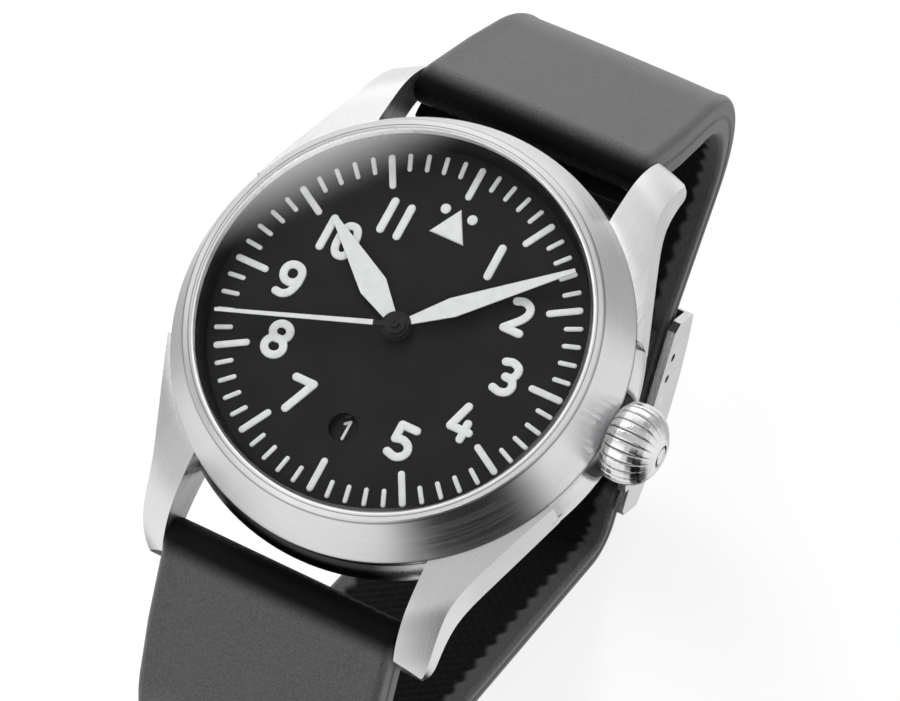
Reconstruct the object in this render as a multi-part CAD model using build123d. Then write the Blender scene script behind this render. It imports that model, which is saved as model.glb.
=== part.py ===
from build123d import *
from math import asin, atan2, cos, degrees, hypot, radians, sin
import os

# Automatic pilot watch on a rubber strap with a folding clasp, in millimetres.
# +Z points out of the dial, +Y to 12 o'clock and +X to the crown.
# The origin is the centre of the case back's outer face.
os.makedirs("parts", exist_ok=True)

# Case: radii about the dial's axis, and heights above the case back
crystal_r = 16.6
neck_r = crystal_r + 0.35
case_bore_r = neck_r - 1.35
bezel_ridge_r = neck_r + 0.55
flank_top_r = neck_r + 2.35
flank_r = flank_top_r + 0.6
flank_low_r = flank_top_r + 0.55
bezel_r = flank_top_r + 0.2
case_foot_r = neck_r + 0.45
foot_z = 0.35
flank_low_z = 1.8
flank_z = 2.9
wall_low_z = 4.2
case_top_z = 5.45
bezel_foot_z = 5.7
bezel_ridge_z = 9.95
bezel_top_z = 10.1
dial_z = 7.5
dial_t = 0.4
rehaut_h = 1.6
rehaut_r = neck_r - 0.95
crystal_t = 1.35
crystal_bevel = 0.2
gasket_t = 0.17
play = 0.05
gap = 0.3
overrun = 2.0

# Lugs and spring bars
strap_w = 21.8
lug_play = 0.15
lug_w = 2.9
lug_root_angle = 22.0
lug_waist_y, lug_waist_share = 7.0, 0.45
lug_neck_y, lug_neck_share = 3.2, 0.06
lug_end_y, lug_end_share = 1.3, 0.1
lug_tip_flat = 1.1
lug_slope_points = ((1.6, 0.35), (3.9, 1.2), (6.2, 3.35), (7.9, 7.4))
lug_under_drop, lug_heel_drop = 3.0, 1.65
bar_y = 22.4
lug_reach = bar_y + 1.7
bar_z = 0.6
bar_r = 0.75
bar_tip_r = 0.4
bar_tip_l = 1.5

# Case back
back_r = neck_r - 0.75
back_t = 0.9
back_skirt_r = case_bore_r - 0.05
back_skirt_t = 1.2
back_skirt_h = 1.3
wrench_slots = 6
wrench_slot_w = 2.6
wrench_slot_d = 0.35
seal_r = back_r - 0.15
seal_w = 0.3
seal_t = 0.25

# Crown, stem and their tube
stem_z = 4.4
stem_r = 0.4
stem_in_x = 8.6
tube_r = 0.9
crown_r = 3.45
crown_in_x = flank_top_r + 0.45
crown_l = 4.25
crown_bore_l = 2.1
crown_lobes = 24
lobe_depth = 0.25
lobe_shares = ((0.0, 1.0), (0.2, 0.25), (0.5, 0.0), (0.8, 0.25))
crown_pocket_x = flank_top_r - 0.6
pinion_r, pinion_l, pinion_inset, pinion_sides = 0.8, 1.6, 0.6, 14
crown_stations_share = ((0.0, 0.80), (0.10, 0.93), (0.36, 1.0), (0.60, 0.93), (0.84, 0.66), (1.0, 0.46))

# Dial furniture
dial_r = crystal_r
hub_hole_r = 1.05
track_r = rehaut_r - 0.58
hour_bar_l = 3.1
hour_bar_w = 0.6
minute_bar_l = 1.62
minute_bar_w = 0.41
lume_t = 0.13
triangle_base_r = 8.62
triangle_tip_r = 11.39
triangle_w = 3.25
dot_r = 0.44
dot_x = 1.26
dot_y = 10.94
window_y = -9.4
window_r = 1.25

# Hands: lengths from the dial's centre, and the time shown
hour_l = 11.1
hour_root_w = 0.6
hour_w = 2.4
hour_w_at = 4.15
hour_tip_w = 0.5
minute_l = 15.35
minute_root_w = 0.32
minute_w = 1.7
minute_w_at = 4.9
minute_tip_w = 0.35
second_l = 15.3
second_root_w = 0.45
second_tip_w = 0.3
hand_t = 0.13
hour_hand_z = 0.4
minute_hand_z = 0.7
second_hand_z = 0.95
hour_angle = 304.3
minute_angle = 47.7
second_angle = 250.5
hour_hub_r, minute_hub_r, second_hub_r = 1.3, 1.12, 0.85
boss_r, boss_h = 0.38, 0.28
dimple_r, dimple_d = 0.15, 0.1

# Movement: plates and bridges
plate_r = 12.8
plate_rim_t = 0.9
plate_low_z = 5.3
plate_top_z = 6.6
works_recess_z = 5.9
works_recess_r = 4.9
date_rim_r = 11.7
date_in_r = 8.0
date_teeth = 31
date_tooth_h = 0.45
date_t = 0.2
bridge_t = 0.55
bridge_foot_r = 1.4
train_end_r, centre_end_r = 1.2, 2.0
barrel_end_r, balance_end_r, balance_foot_r = 3.0, 1.3, 1.8
cock_end_r, cock_foot_r = 0.5, 0.7
cock_top_z, cock_t = 4.25, 0.12
bridge_top_z = 3.3
holder_low_z = back_t + back_skirt_h
holder_top_z = 6.9

# Going train: teeth, modules and heights
barrel_teeth, centre_pinion_teeth, barrel_module = 60, 10, 0.17
centre_teeth, third_pinion_teeth, centre_module = 48, 6, 0.15
third_teeth, fourth_pinion_teeth = 45, 6
fourth_teeth, escape_pinion_teeth, fourth_module = 60, 6, 0.125
cannon_teeth, minute_teeth = 10, 30
minute_pinion_teeth, hour_teeth, works_module = 8, 32, 0.13
wheel_t = 0.12
pinion_t = 0.3
barrel_z, barrel_h, barrel_wall = 4.3, 0.85, 0.25
arbor_core_r = 1.0
mainspring_t, mainspring_pitch = 0.12, 0.5
wheel_rim_share = 0.78
centre_hub_r, spoked_hub_r, escape_hub_r = 0.9, 0.7, 0.35
centre_z = 4.06
third_z = 3.78
fourth_z = 3.5
escape_z = 4.5
arbor_r = 0.12
fourth_arbor_r = 0.15
centre_tube_r = 0.4
cannon_r = 0.5
hour_tube_r = 0.9
barrel_angle, third_angle, escape_angle = 75.0, 180.0, 270.0
works_angle = 200.0
pivot_hole_share = 1.5

# Escapement, balance and rotor
escape_r = 1.6
escape_wheel_teeth = 15
escape_root_share, escape_tip_share, escape_rim_share = 0.68, 0.97, 0.55
balance_angle, balance_reach = 305.0, 7.9
balance_r = 3.7
balance_rim_w = 0.45
balance_z, balance_t = 3.62, 0.25
fork_reach = 2.1
fork_z, fork_t = 4.5, 0.16
fork_w, fork_hub_r = 0.22, 0.32
arm_x, arm_l = -0.12, 1.1
pallet_x, pallet_l, pallet_w = -0.22, 0.36, 0.2
horn_l, horn_w = 0.32, 0.2
roller_r = 0.55
hairspring_in_r, hairspring_pitch = 0.55, 0.28
hairspring_turns = 6
hairspring_t, hairspring_h = 0.05, 0.09
rotor_r = 12.3
rotor_rim_w = 1.9
rotor_z, rotor_t, rotor_rim_h = 1.45, 0.3, 1.1
rotor_hub_r = 2.3
rotor_web_w, rotor_window_w = 1.0, 5.0
bearing_r = 1.2
ratchet_r = 2.9
ratchet_teeth = 36
ratchet_z, ratchet_t = 2.4, 0.3

# Strap: outer line leaves the lug at 45 degrees, bends, and runs down to the clasp
strap_taper_w = 4.2
strap_end_w = strap_w - strap_taper_w
strap_tail_l = 2.2
strap_end_r = 2.15
strap_lug_t = 3.5
strap_bend_t = 3.0
strap_end_t = 2.5
bend_r = 13.0
bend_reach_y = 36.5
leave_angle = 45.0
arm_slope = 41.0
taper_top_z = -3.0
taper_low_z = -34.0
apex_in_y, apex_drop = 33.3, 14.7
apex_y, apex_z = bend_reach_y - apex_in_y, -(bend_reach_y + apex_drop)
apex_r = 4.2
heel_in, heel_drop, heel_t, heel_round = 3.1, 1.75, 1.2, 0.4
tube_pitch = 6.2
strap_tube_r = 0.55

# Clasp: lengths along the strap's lower arm from the clasp's 12 o'clock end
clasp_in_y, clasp_side = 14.2, 1.1
clasp_y = bend_reach_y - clasp_in_y
clasp_l = 20.5
clasp_w = strap_end_w + 2 * clasp_side
cheek_t = 0.8
cheek_drop = 2.7
cover_t = 0.75
cover_crown = 1.5
cover_lift = 0.3
adjust_hole_r = 0.4
adjust_first_s = 3.8
adjust_pitch = 2.25
adjust_holes = 3
blade_t = 0.7
blade_w = clasp_w - 3.4
blade_gap = 0.35
knuckle_r = 0.75
ear_r, ear_w = 0.975, 1.95
pin_r = 0.35
cover_hinge_s = clasp_l - 4.1
far_hinge_s = 1.6
blade_end_s = clasp_l - 5.3
button_s = clasp_l - 8.1
button_r = 1.15
button_proud = 0.6
button_travel = 0.4
end_bar_s = clasp_l - 1.3


def direction(angle):
    return (cos(radians(angle)), sin(radians(angle)))


def around(reach, angle):
    return (reach * cos(radians(angle)), reach * sin(radians(angle)))


def disc(radius, low, high, hole=0.0):
    face = Circle(radius) - Circle(hole) if hole else Circle(radius)
    return Pos(0, 0, low) * extrude(face, amount=high - low)


def at(place, shape):
    return Pos(place[0], place[1], 0) * shape


def turned(*points):
    # a closed outline of radius and height, turned about the dial's axis
    return revolve(Plane.XZ * make_face(Polyline(*points, close=True)), Axis.Z)


def rod_x(radius, start, end, y=0.0, z=0.0):
    return extrude(Plane.YZ.offset(start) * Pos(y, z) * Circle(radius), amount=end - start)


def plate_hull(circles, low, high):
    # a flat bridge that wraps round circles given as place and radius
    edges = ShapeList()
    for place, radius in circles:
        edges += (Pos(place[0], place[1]) * Circle(radius)).edges()
    return Pos(0, 0, low) * extrude(make_hull(edges), amount=high - low)


def line_cross(first, second):
    # where two lines, each given as its normal's angle and its offset, cross
    (a1, o1), (a2, o2) = first, second
    (x1, y1), (x2, y2) = direction(a1), direction(a2)
    turn = x1 * y2 - x2 * y1
    return ((o1 * y2 - o2 * y1) / turn, (x1 * o2 - x2 * o1) / turn)


def clear_gear(teeth, module, low, high, hole=0.0, turn=0.0):
    # slim straight-sided teeth with clearance in the mesh
    pitch_share = 360.0 / teeth
    tip_r = (teeth / 2 + 0.8) * module
    root_r = (teeth / 2 - 1.25) * module
    tooth_shares = ((-0.2, root_r), (-0.08, tip_r), (0.08, tip_r), (0.2, root_r))
    points = [around(r, turn + (i + s) * pitch_share) for i in range(teeth) for s, r in tooth_shares]
    face = make_face(Polyline(*points, close=True))
    if hole:
        face -= Circle(hole)
    return Pos(0, 0, low) * extrude(face, amount=high - low)


def gear_reach(first, second, module):
    return (first + second) * module / 2


def meshed(first, second, angle):
    # the turn that puts a gap of the second gear on the unturned first gear's tooth
    return angle + 180.0 + (angle * first + 180.0) / second


def spoked(wheel, low, high, rim_in, hub, spokes):
    # cuts windows into a wheel and leaves its spokes
    window = disc(rim_in, low, high, hub)
    arm = Box(2 * rim_in, hub * 0.7, high - low)
    for i in range(spokes):
        window -= Pos(0, 0, (low + high) / 2) * Rot(0, 0, i * 180.0 / spokes) * arm
    return wheel - window


def spiral(inner, pitch, turns, thick, low, height):
    # half-turn arcs whose radius grows by half a pitch each time
    wires = []
    for side in (-thick / 2, thick / 2):
        arcs = []
        for i in range(2 * turns):
            radius = inner + pitch * (0.5 * i + 0.25)
            shift = (pitch / 4) * (-1 if i % 2 == 0 else 1)
            start = 0.0 if i % 2 == 0 else 180.0
            centre = Pos(shift, 0)
            arcs.append(centre * CenterArc((0, 0), radius + side, start, 180.0))
        wires.append(arcs)
    inside, outside = wires
    ends = [Line(inside[0] @ 0, outside[0] @ 0), Line(inside[-1] @ 1, outside[-1] @ 1)]
    return Pos(0, 0, low) * extrude(make_face(inside + outside + ends), amount=height)


def save(name, shape):
    export_step(shape, f"parts/{name}.step")


# Case middle: turned band with a neck for the bezel, four lugs, crown pocket
bezel_in_r = crystal_r + gasket_t
neck_top_z = dial_z - dial_t
back_seat_r = back_r + play

band_outline = [
    Line((case_bore_r, back_t), (case_bore_r, neck_top_z)),
    Line((case_bore_r, neck_top_z), (neck_r, neck_top_z)),
    Line((neck_r, neck_top_z), (neck_r, case_top_z)),
    Line((neck_r, case_top_z), (flank_top_r, case_top_z)),
    Line((flank_top_r, case_top_z), (flank_top_r, wall_low_z)),
    ThreePointArc((flank_top_r, wall_low_z), (flank_r, flank_z), (flank_low_r, flank_low_z)),
    ThreePointArc(
        (flank_low_r, flank_low_z),
        ((flank_low_r + case_foot_r) / 2 + gap, (flank_low_z + foot_z) / 2 - gap),
        (case_foot_r, foot_z),
    ),
    Line((case_foot_r, foot_z), (back_seat_r, foot_z - gap)),
    Line((back_seat_r, foot_z - gap), (back_seat_r, back_t)),
    Line((back_seat_r, back_t), (case_bore_r, back_t)),
]
case_middle = revolve(Plane.XZ * make_face(band_outline), Axis.Z)

lug_in_x = strap_w / 2 + lug_play
lug_out_x = lug_in_x + lug_w


def lug_plan():
    # one lug from above: straight inner face, waisted outer edge, rounded tip
    shoulder = around(flank_r, lug_root_angle)
    edge = Spline(
        shoulder,
        (lug_out_x + lug_waist_share * lug_w, bar_y - lug_waist_y),
        (lug_out_x + lug_neck_share * lug_w, bar_y - lug_neck_y),
        (lug_out_x - lug_end_share * lug_w, lug_reach - lug_end_y),
        tangents=(direction(lug_root_angle + 90.0), (-0.3, 1.0)),
    )
    tip_start = (lug_in_x + lug_tip_flat, lug_reach)
    tip = [Spline(edge @ 1, tip_start, tangents=(edge % 1, (-1.0, 0.0))),
           Line(tip_start, (lug_in_x, lug_reach))]
    inner = Line((lug_in_x, lug_reach), (lug_in_x, case_bore_r / 2))
    root = Line((lug_in_x, case_bore_r / 2), shoulder)
    return make_face([edge, inner, root] + tip)


def lug_top():
    # the lugs' top face falls away from the bezel's foot, turned about the dial's axis
    start = (flank_top_r, case_top_z)
    slope = Spline(start, *((flank_top_r + out, case_top_z - drop) for out, drop in lug_slope_points),
                   tangents=((1, -0.1), (0.25, -1)))
    foot_r = slope @ 1
    low = (foot_r.X, -bezel_top_z)
    axis_line = [Line((0, -bezel_top_z), (0, case_top_z)), Line((0, case_top_z), start)]
    edge = [slope, Line(slope @ 1, low), Line(low, (0, -bezel_top_z))]
    return revolve(Plane.XZ * make_face(axis_line + edge), Axis.Z)


def lug_side():
    # one lug from the side: its underside falls past the case back to the tip
    low = Spline(
        (lug_reach - gap, bar_z - lug_under_drop),
        (bar_y - bar_r, bar_z - lug_heel_drop),
        (neck_r, foot_z),
        (case_bore_r / 2, flank_low_z),
        tangents=((-1, 0.1), (-1, 0.2)),
    )
    over = [Line(low @ 1, (case_bore_r / 2, bezel_top_z)),
            Line((case_bore_r / 2, bezel_top_z), (lug_reach, bezel_top_z)),
            Line((lug_reach, bezel_top_z), low @ 0)]
    return make_face([low] + over)


lug = extrude(lug_plan(), amount=2 * bezel_top_z, both=True)
lug &= extrude(Plane.YZ * lug_side(), amount=2 * bezel_r)
lug &= lug_top()
lug -= disc(back_seat_r, -bezel_top_z, back_t)
lug -= disc(case_bore_r, 0, neck_top_z)
lug -= rod_x(bar_tip_r + play, 0, lug_in_x + bar_tip_l, bar_y, bar_z)
for quarter in (lug, mirror(lug, Plane.YZ)):
    case_middle += quarter
    case_middle += mirror(quarter, Plane.XZ)
case_middle -= rod_x(crown_r + gap, crown_pocket_x, bezel_r + overrun, 0, stem_z)
case_middle -= rod_x(tube_r, 0, bezel_r + overrun, 0, stem_z)
case_middle -= disc(seal_r + play, back_t, back_t + seal_t + play, seal_r - seal_w - play)
save("case_middle", case_middle)

save("crown_tube", rod_x(tube_r, case_bore_r, crown_pocket_x + gap, 0, stem_z)
     - rod_x(stem_r + play, 0, bezel_r + overrun, 0, stem_z))

# Bezel with its steep brushed slope, crystal, gasket and inner flange
crystal_low_z = dial_z + rehaut_h
save("bezel", turned(
    (neck_r, case_top_z), (bezel_r, case_top_z), (bezel_r, bezel_foot_z),
    (bezel_ridge_r, bezel_ridge_z), (bezel_ridge_r - gap / 2, bezel_top_z),
    (bezel_in_r, bezel_top_z), (bezel_in_r, crystal_low_z), (neck_r, crystal_low_z)))

crystal_edge_z = crystal_low_z + crystal_t
save("crystal", turned(
    (0, crystal_low_z), (crystal_r, crystal_low_z), (crystal_r, crystal_edge_z - crystal_bevel),
    (crystal_r - crystal_bevel, crystal_edge_z), (0, crystal_edge_z)))
save("crystal_gasket", disc(bezel_in_r, crystal_low_z, bezel_top_z - gasket_t, crystal_r))
save("inner_flange", turned(
    (rehaut_r, dial_z), (neck_r, dial_z), (neck_r, crystal_low_z),
    (rehaut_r + gap, crystal_low_z)))

# Case back with wrench slots, a threaded skirt and its seal
case_back = disc(back_r, 0, back_t)
case_back += disc(back_skirt_r, back_t, back_t + back_skirt_h, back_skirt_r - back_skirt_t)
for i in range(wrench_slots):
    slot = Pos(back_r, 0, 0) * Box(2 * wrench_slot_w, wrench_slot_w, 2 * wrench_slot_d)
    case_back -= Rot(0, 0, i * 360.0 / wrench_slots) * slot
save("case_back", case_back)
save("case_back_seal", disc(seal_r, back_t, back_t + seal_t, seal_r - seal_w))

# Dial with its window, and the raised bars, triangle and dots
dial = disc(dial_r, neck_top_z, dial_z, hub_hole_r)
dial -= at((0, window_y), disc(window_r, neck_top_z, dial_z))
dial_foot = disc(2 * arbor_r, plate_top_z - gap, neck_top_z)
feet_places = [around((date_rim_r + plate_r) / 2, angle) for angle in (55.0, 235.0)]
for place in feet_places:
    dial += at(place, dial_foot)
save("dial", dial)


def bar_mark(length, width):
    mark = Pos(0, track_r - length / 2) * Rectangle(width, length)
    return Pos(0, 0, dial_z) * extrude(chamfer(mark.vertices(), 0.3 * width), amount=lume_t)


marks = []
for minute in range(60):
    long_mark = minute % 5 == 0
    shape = bar_mark(hour_bar_l, hour_bar_w) if long_mark else bar_mark(minute_bar_l, minute_bar_w)
    marks.append(Rot(0, 0, -6.0 * minute) * shape)
triangle = make_face(Polyline(
    (-triangle_w / 2, triangle_base_r), (triangle_w / 2, triangle_base_r), (0, triangle_tip_r),
    close=True))
marks.append(Pos(0, 0, dial_z) * extrude(triangle, amount=lume_t))
for side in (-1, 1):
    marks.append(Pos(side * dot_x, dot_y, dial_z) * extrude(Circle(dot_r), amount=lume_t))
save("dial_marks", Compound(children=marks))

# Date ring under the dial
date_tip_r = date_in_r + date_tooth_h
date_points = []
for i in range(date_teeth):
    step = 360.0 / date_teeth
    date_points += [around(date_tip_r, i * step), around(date_in_r, (i + 0.5) * step)]
date_face = Circle(date_rim_r - play) - make_face(Polyline(*date_points, close=True))
date_z = plate_top_z + play
save("date_ring", Pos(0, 0, date_z) * extrude(date_face, amount=date_t))

# Main plate: a disc with a recess for the motion works and a wall that carries the bridges
barrel_place = around(gear_reach(barrel_teeth, centre_pinion_teeth, barrel_module), barrel_angle)
third_reach = gear_reach(centre_teeth, third_pinion_teeth, centre_module)
third_place = around(third_reach, third_angle)
third_module = 2 * third_reach / (third_teeth + fourth_pinion_teeth)
escape_reach = gear_reach(fourth_teeth, escape_pinion_teeth, fourth_module)
escape_place = around(escape_reach, escape_angle)
balance_place = around(balance_reach, balance_angle)
works_place = around(gear_reach(cannon_teeth, minute_teeth, works_module), works_angle)
fork_turn = degrees(atan2(balance_place[1] - escape_place[1], balance_place[0] - escape_place[0]))
fork_dir = direction(fork_turn)
fork_place = (escape_place[0] + fork_reach * fork_dir[0], escape_place[1] + fork_reach * fork_dir[1])
cock_foot = (fork_place[0] + fork_reach * fork_dir[1], fork_place[1] - fork_reach * fork_dir[0])
pivot_r = pivot_hole_share * arbor_r

main_plate = disc(plate_r, plate_low_z, plate_top_z)
main_plate += disc(plate_r, bridge_top_z, plate_low_z, plate_r - plate_rim_t)
main_plate += disc(plate_r, plate_top_z, neck_top_z, date_rim_r)
main_plate -= disc(works_recess_r, works_recess_z, plate_top_z)
main_plate -= disc(centre_tube_r + play, plate_low_z, works_recess_z)
for place in (third_place, escape_place, fork_place, balance_place):
    main_plate -= at(place, disc(pivot_r, plate_low_z, plate_low_z + 3 * arbor_r))
for place in feet_places:
    main_plate -= at(place, disc(2 * arbor_r + play, plate_top_z - gap, neck_top_z))
main_plate += at(works_place, disc(arbor_r, works_recess_z, plate_top_z - play))
main_plate -= rod_x(tube_r + play, stem_in_x, plate_r + overrun, 0, stem_z)
save("main_plate", main_plate)

holder = disc(case_bore_r, holder_low_z, holder_top_z, plate_r)
holder -= rod_x(tube_r + play, 0, case_bore_r + overrun, 0, stem_z)
save("movement_holder", holder)

# Bridges, carried by the main plate's wall
bridge_low_z = bridge_top_z - bridge_t
foot_reach = plate_r - 1.6 * plate_rim_t


def bridge(circles, holes):
    shape = plate_hull(circles, bridge_low_z, bridge_top_z) & disc(plate_r, 0, plate_top_z)
    for place, radius in holes:
        shape -= at(place, disc(radius, bridge_top_z - 3 * arbor_r, bridge_top_z))
    return shape


train_bridge = bridge(
    [((0, 0), centre_end_r), (third_place, train_end_r), (escape_place, train_end_r),
     (around(foot_reach, 180.0), bridge_foot_r), (around(foot_reach, 250.0), bridge_foot_r)],
    [((0, 0), fourth_arbor_r + play), (third_place, pivot_r), (escape_place, pivot_r)])
save("train_bridge", train_bridge)
barrel_bridge = bridge(
    [(barrel_place, barrel_end_r), (around(foot_reach, 40.0), bridge_foot_r),
     (around(foot_reach, 115.0), bridge_foot_r)], [])
barrel_bridge -= at(barrel_place, disc(arbor_core_r + play, bridge_low_z, bridge_top_z))
save("barrel_bridge", barrel_bridge)
balance_cock = bridge(
    [(balance_place, balance_end_r), (around(foot_reach, balance_angle), balance_foot_r)],
    [(balance_place, pivot_r)])
save("balance_cock", balance_cock)
pallet_cock = plate_hull(
    [(fork_place, cock_end_r), (cock_foot, cock_foot_r)], cock_top_z - cock_t, cock_top_z)
pallet_cock += at(cock_foot, disc(cock_end_r, cock_top_z, plate_low_z))
pallet_cock -= at(fork_place, disc(pivot_r, cock_top_z - cock_t, cock_top_z))
save("pallet_cock", pallet_cock)

# Barrel, mainspring, arbor and ratchet wheel
barrel_top_z = barrel_z + barrel_h
drum_r = barrel_teeth * barrel_module / 2 - barrel_wall
barrel = clear_gear(barrel_teeth, barrel_module, barrel_z, barrel_z + barrel_wall, arbor_core_r + play,
                    meshed(centre_pinion_teeth, barrel_teeth, barrel_angle))
barrel += disc(drum_r, barrel_z + barrel_wall, barrel_top_z, drum_r - barrel_wall)
save("barrel", at(barrel_place, barrel))
save("barrel_arbor", at(barrel_place, disc(arbor_core_r, ratchet_z, plate_low_z - play)))
ratchet = clear_gear(
    ratchet_teeth, 2 * ratchet_r / ratchet_teeth, ratchet_z, ratchet_z + ratchet_t, arbor_core_r)
save("ratchet_wheel", at(barrel_place, ratchet))
mainspring_in_r = arbor_core_r + play + mainspring_pitch / 2
mainspring_turns = int((drum_r - barrel_wall - mainspring_in_r - play) / mainspring_pitch)
mainspring = spiral(mainspring_in_r, mainspring_pitch, mainspring_turns, mainspring_t,
                    barrel_z + barrel_wall + play, barrel_h - barrel_wall - 2 * play)
save("mainspring", at(barrel_place, mainspring))

# Going train from the centre wheel to the escape wheel
centre_wheel = clear_gear(
    centre_teeth, centre_module, centre_z, centre_z + wheel_t, fourth_arbor_r + play)
centre_r = centre_teeth * centre_module / 2
centre_wheel = spoked(
    centre_wheel, centre_z, centre_z + wheel_t, wheel_rim_share * centre_r, centre_hub_r, 2)
centre_wheel += clear_gear(
    centre_pinion_teeth, barrel_module, centre_z + wheel_t, barrel_z + barrel_wall,
    fourth_arbor_r + play)
centre_wheel += disc(centre_tube_r, barrel_z + barrel_wall, works_recess_z + play,
                     fourth_arbor_r + play)
save("centre_wheel", centre_wheel)

third_r = third_teeth * third_module / 2
third_wheel = clear_gear(third_teeth, third_module, third_z, third_z + wheel_t,
                         turn=meshed(fourth_pinion_teeth, third_teeth, third_angle))
third_wheel = spoked(
    third_wheel, third_z, third_z + wheel_t, wheel_rim_share * third_r, spoked_hub_r, 2)
third_wheel += clear_gear(
    third_pinion_teeth, centre_module, third_z + wheel_t, centre_z + wheel_t + play,
    turn=meshed(centre_teeth, third_pinion_teeth, third_angle))
third_wheel += disc(arbor_r, bridge_top_z - 2 * arbor_r, plate_low_z + 2 * arbor_r)
save("third_wheel", at(third_place, third_wheel))

fourth_r = fourth_teeth * fourth_module / 2
fourth_wheel = clear_gear(fourth_teeth, fourth_module, fourth_z, fourth_z + wheel_t)
fourth_wheel = spoked(
    fourth_wheel, fourth_z, fourth_z + wheel_t, wheel_rim_share * fourth_r, spoked_hub_r, 2)
fourth_wheel += clear_gear(
    fourth_pinion_teeth, third_module, fourth_z + wheel_t, third_z + wheel_t + play)
second_seat_z = dial_z + second_hand_z
fourth_wheel += disc(fourth_arbor_r, bridge_top_z - 2 * arbor_r, second_seat_z)
save("fourth_wheel", fourth_wheel)

escape_step = 360.0 / escape_wheel_teeth
escape_points = []
for i in range(escape_wheel_teeth):
    escape_points += [around(escape_root_share * escape_r, i * escape_step),
                      around(escape_r, (i + 0.55) * escape_step),
                      around(escape_tip_share * escape_r, (i + 0.72) * escape_step)]
escape_wheel = Pos(0, 0, escape_z) * extrude(
    make_face(Polyline(*escape_points, close=True)), amount=wheel_t)
escape_wheel = spoked(
    escape_wheel, escape_z, escape_z + wheel_t, escape_rim_share * escape_r, escape_hub_r, 2)
escape_wheel += clear_gear(
    escape_pinion_teeth, fourth_module, fourth_z - play, fourth_z + wheel_t + play,
    turn=meshed(fourth_teeth, escape_pinion_teeth, escape_angle))
escape_wheel += disc(arbor_r, bridge_top_z - 2 * arbor_r, plate_low_z + 2 * arbor_r)
save("escape_wheel", at(escape_place, escape_wheel))

# Pallet fork, pointing at the balance, with its two pallets held just clear of the teeth
balance_gap = hypot(balance_place[0] - fork_place[0], balance_place[1] - fork_place[1])
fork_tip = balance_gap - roller_r - 3 * play
fork_face = Pos(fork_tip / 2, 0) * Rectangle(fork_tip, fork_w) + Circle(fork_hub_r)
for side in (-1, 1):
    fork_face += Pos(arm_x, side * arm_l / 2) * Rectangle(fork_w, arm_l)
    fork_face += Pos(pallet_x, side * (arm_l - play)) * Rectangle(pallet_l, pallet_w)
    fork_face += Pos(fork_tip - horn_l / 2, side * horn_w) * Rectangle(horn_l, horn_w)
fork = extrude(fork_face, amount=fork_t)
fork = Pos(0, 0, fork_z) * fork
fork += disc(arbor_r, cock_top_z - cock_t, plate_low_z + 2 * arbor_r)
save("pallet_fork", at(fork_place, Rot(0, 0, fork_turn) * fork))

# Balance wheel on its staff, with roller and hairspring
balance = disc(balance_r, balance_z, balance_z + balance_t, balance_r - balance_rim_w)
balance += Pos(0, 0, balance_z + balance_t / 2) * Box(
    2 * balance_r - balance_rim_w, 1.5 * balance_rim_w, balance_t)
balance += disc(roller_r, balance_z, balance_z + 2 * balance_t)
balance += disc(roller_r, fork_z, fork_z + fork_t)
balance += disc(arbor_r, bridge_top_z - 2 * arbor_r, plate_low_z + 2 * arbor_r)
save("balance_wheel", at(balance_place, balance))
hairspring_z = bridge_top_z + play
collet = disc(hairspring_in_r + hairspring_t, hairspring_z, balance_z, arbor_r)
hairspring = spiral(hairspring_in_r, hairspring_pitch, hairspring_turns, hairspring_t,
                    hairspring_z + hairspring_h, hairspring_h)
save("hairspring", at(balance_place, hairspring + collet))

# Motion works under the dial
cannon = clear_gear(cannon_teeth, works_module, works_recess_z + play,
                    works_recess_z + play + pinion_t, centre_tube_r)
minute_seat_z = dial_z + minute_hand_z
cannon = disc(cannon_r, works_recess_z + play, minute_seat_z, fourth_arbor_r + play) + cannon
cannon -= disc(centre_tube_r, works_recess_z - play, works_recess_z + play)
save("cannon_pinion", cannon)
minute_wheel_z = works_recess_z + 2 * play
minute_wheel = clear_gear(
    minute_teeth, works_module, minute_wheel_z, minute_wheel_z + wheel_t, arbor_r + play,
    meshed(cannon_teeth, minute_teeth, works_angle))
minute_wheel += clear_gear(
    minute_pinion_teeth, works_module, minute_wheel_z + wheel_t, plate_top_z - play, arbor_r + play,
    meshed(hour_teeth, minute_pinion_teeth, works_angle))
save("minute_wheel", at(works_place, minute_wheel))
hour_wheel_z = minute_wheel_z + wheel_t + 2 * play + wheel_t
hour_wheel = clear_gear(hour_teeth, works_module, hour_wheel_z, hour_wheel_z + wheel_t, cannon_r + play)
hour_seat_z = dial_z + hour_hand_z
hour_wheel += disc(hour_tube_r, hour_wheel_z, hour_seat_z, cannon_r + play)
save("hour_wheel", hour_wheel)

# Hands, drawn along +Y and turned to the time


def hand_face(length, root_w, wide, wide_at, tip_w):
    return make_face(Polyline(
        (-root_w / 2, 0), (-wide / 2, wide_at), (-tip_w / 2, length), (tip_w / 2, length),
        (wide / 2, wide_at), (root_w / 2, 0), close=True))


def hand(face, hub, hole, low, angle):
    shape = Pos(0, 0, low) * extrude(face, amount=hand_t) + disc(hub, low, low + hand_t)
    if hole:
        shape -= disc(hole, low, low + hand_t)
    return Rot(0, 0, -angle) * shape


hour_face = hand_face(hour_l, hour_root_w, hour_w, hour_w_at, hour_tip_w)
save("hour_hand", hand(hour_face, hour_hub_r, cannon_r + play, hour_seat_z, hour_angle))
minute_face = hand_face(minute_l, minute_root_w, minute_w, minute_w_at, minute_tip_w)
save("minute_hand", hand(minute_face, minute_hub_r, fourth_arbor_r + play, minute_seat_z, minute_angle))
second_face = hand_face(second_l, second_root_w, second_root_w, second_hub_r, second_tip_w)
second_hand = hand(second_face, second_hub_r, 0.0, second_seat_z, second_angle)
boss_low_z = second_seat_z + hand_t
boss_top_z = boss_low_z + boss_h
second_hand += turned((0, boss_low_z), (boss_r, boss_low_z), (boss_r, boss_top_z),
                      (dimple_r, boss_top_z), (0, boss_top_z - dimple_d))
save("second_hand", second_hand)

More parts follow.
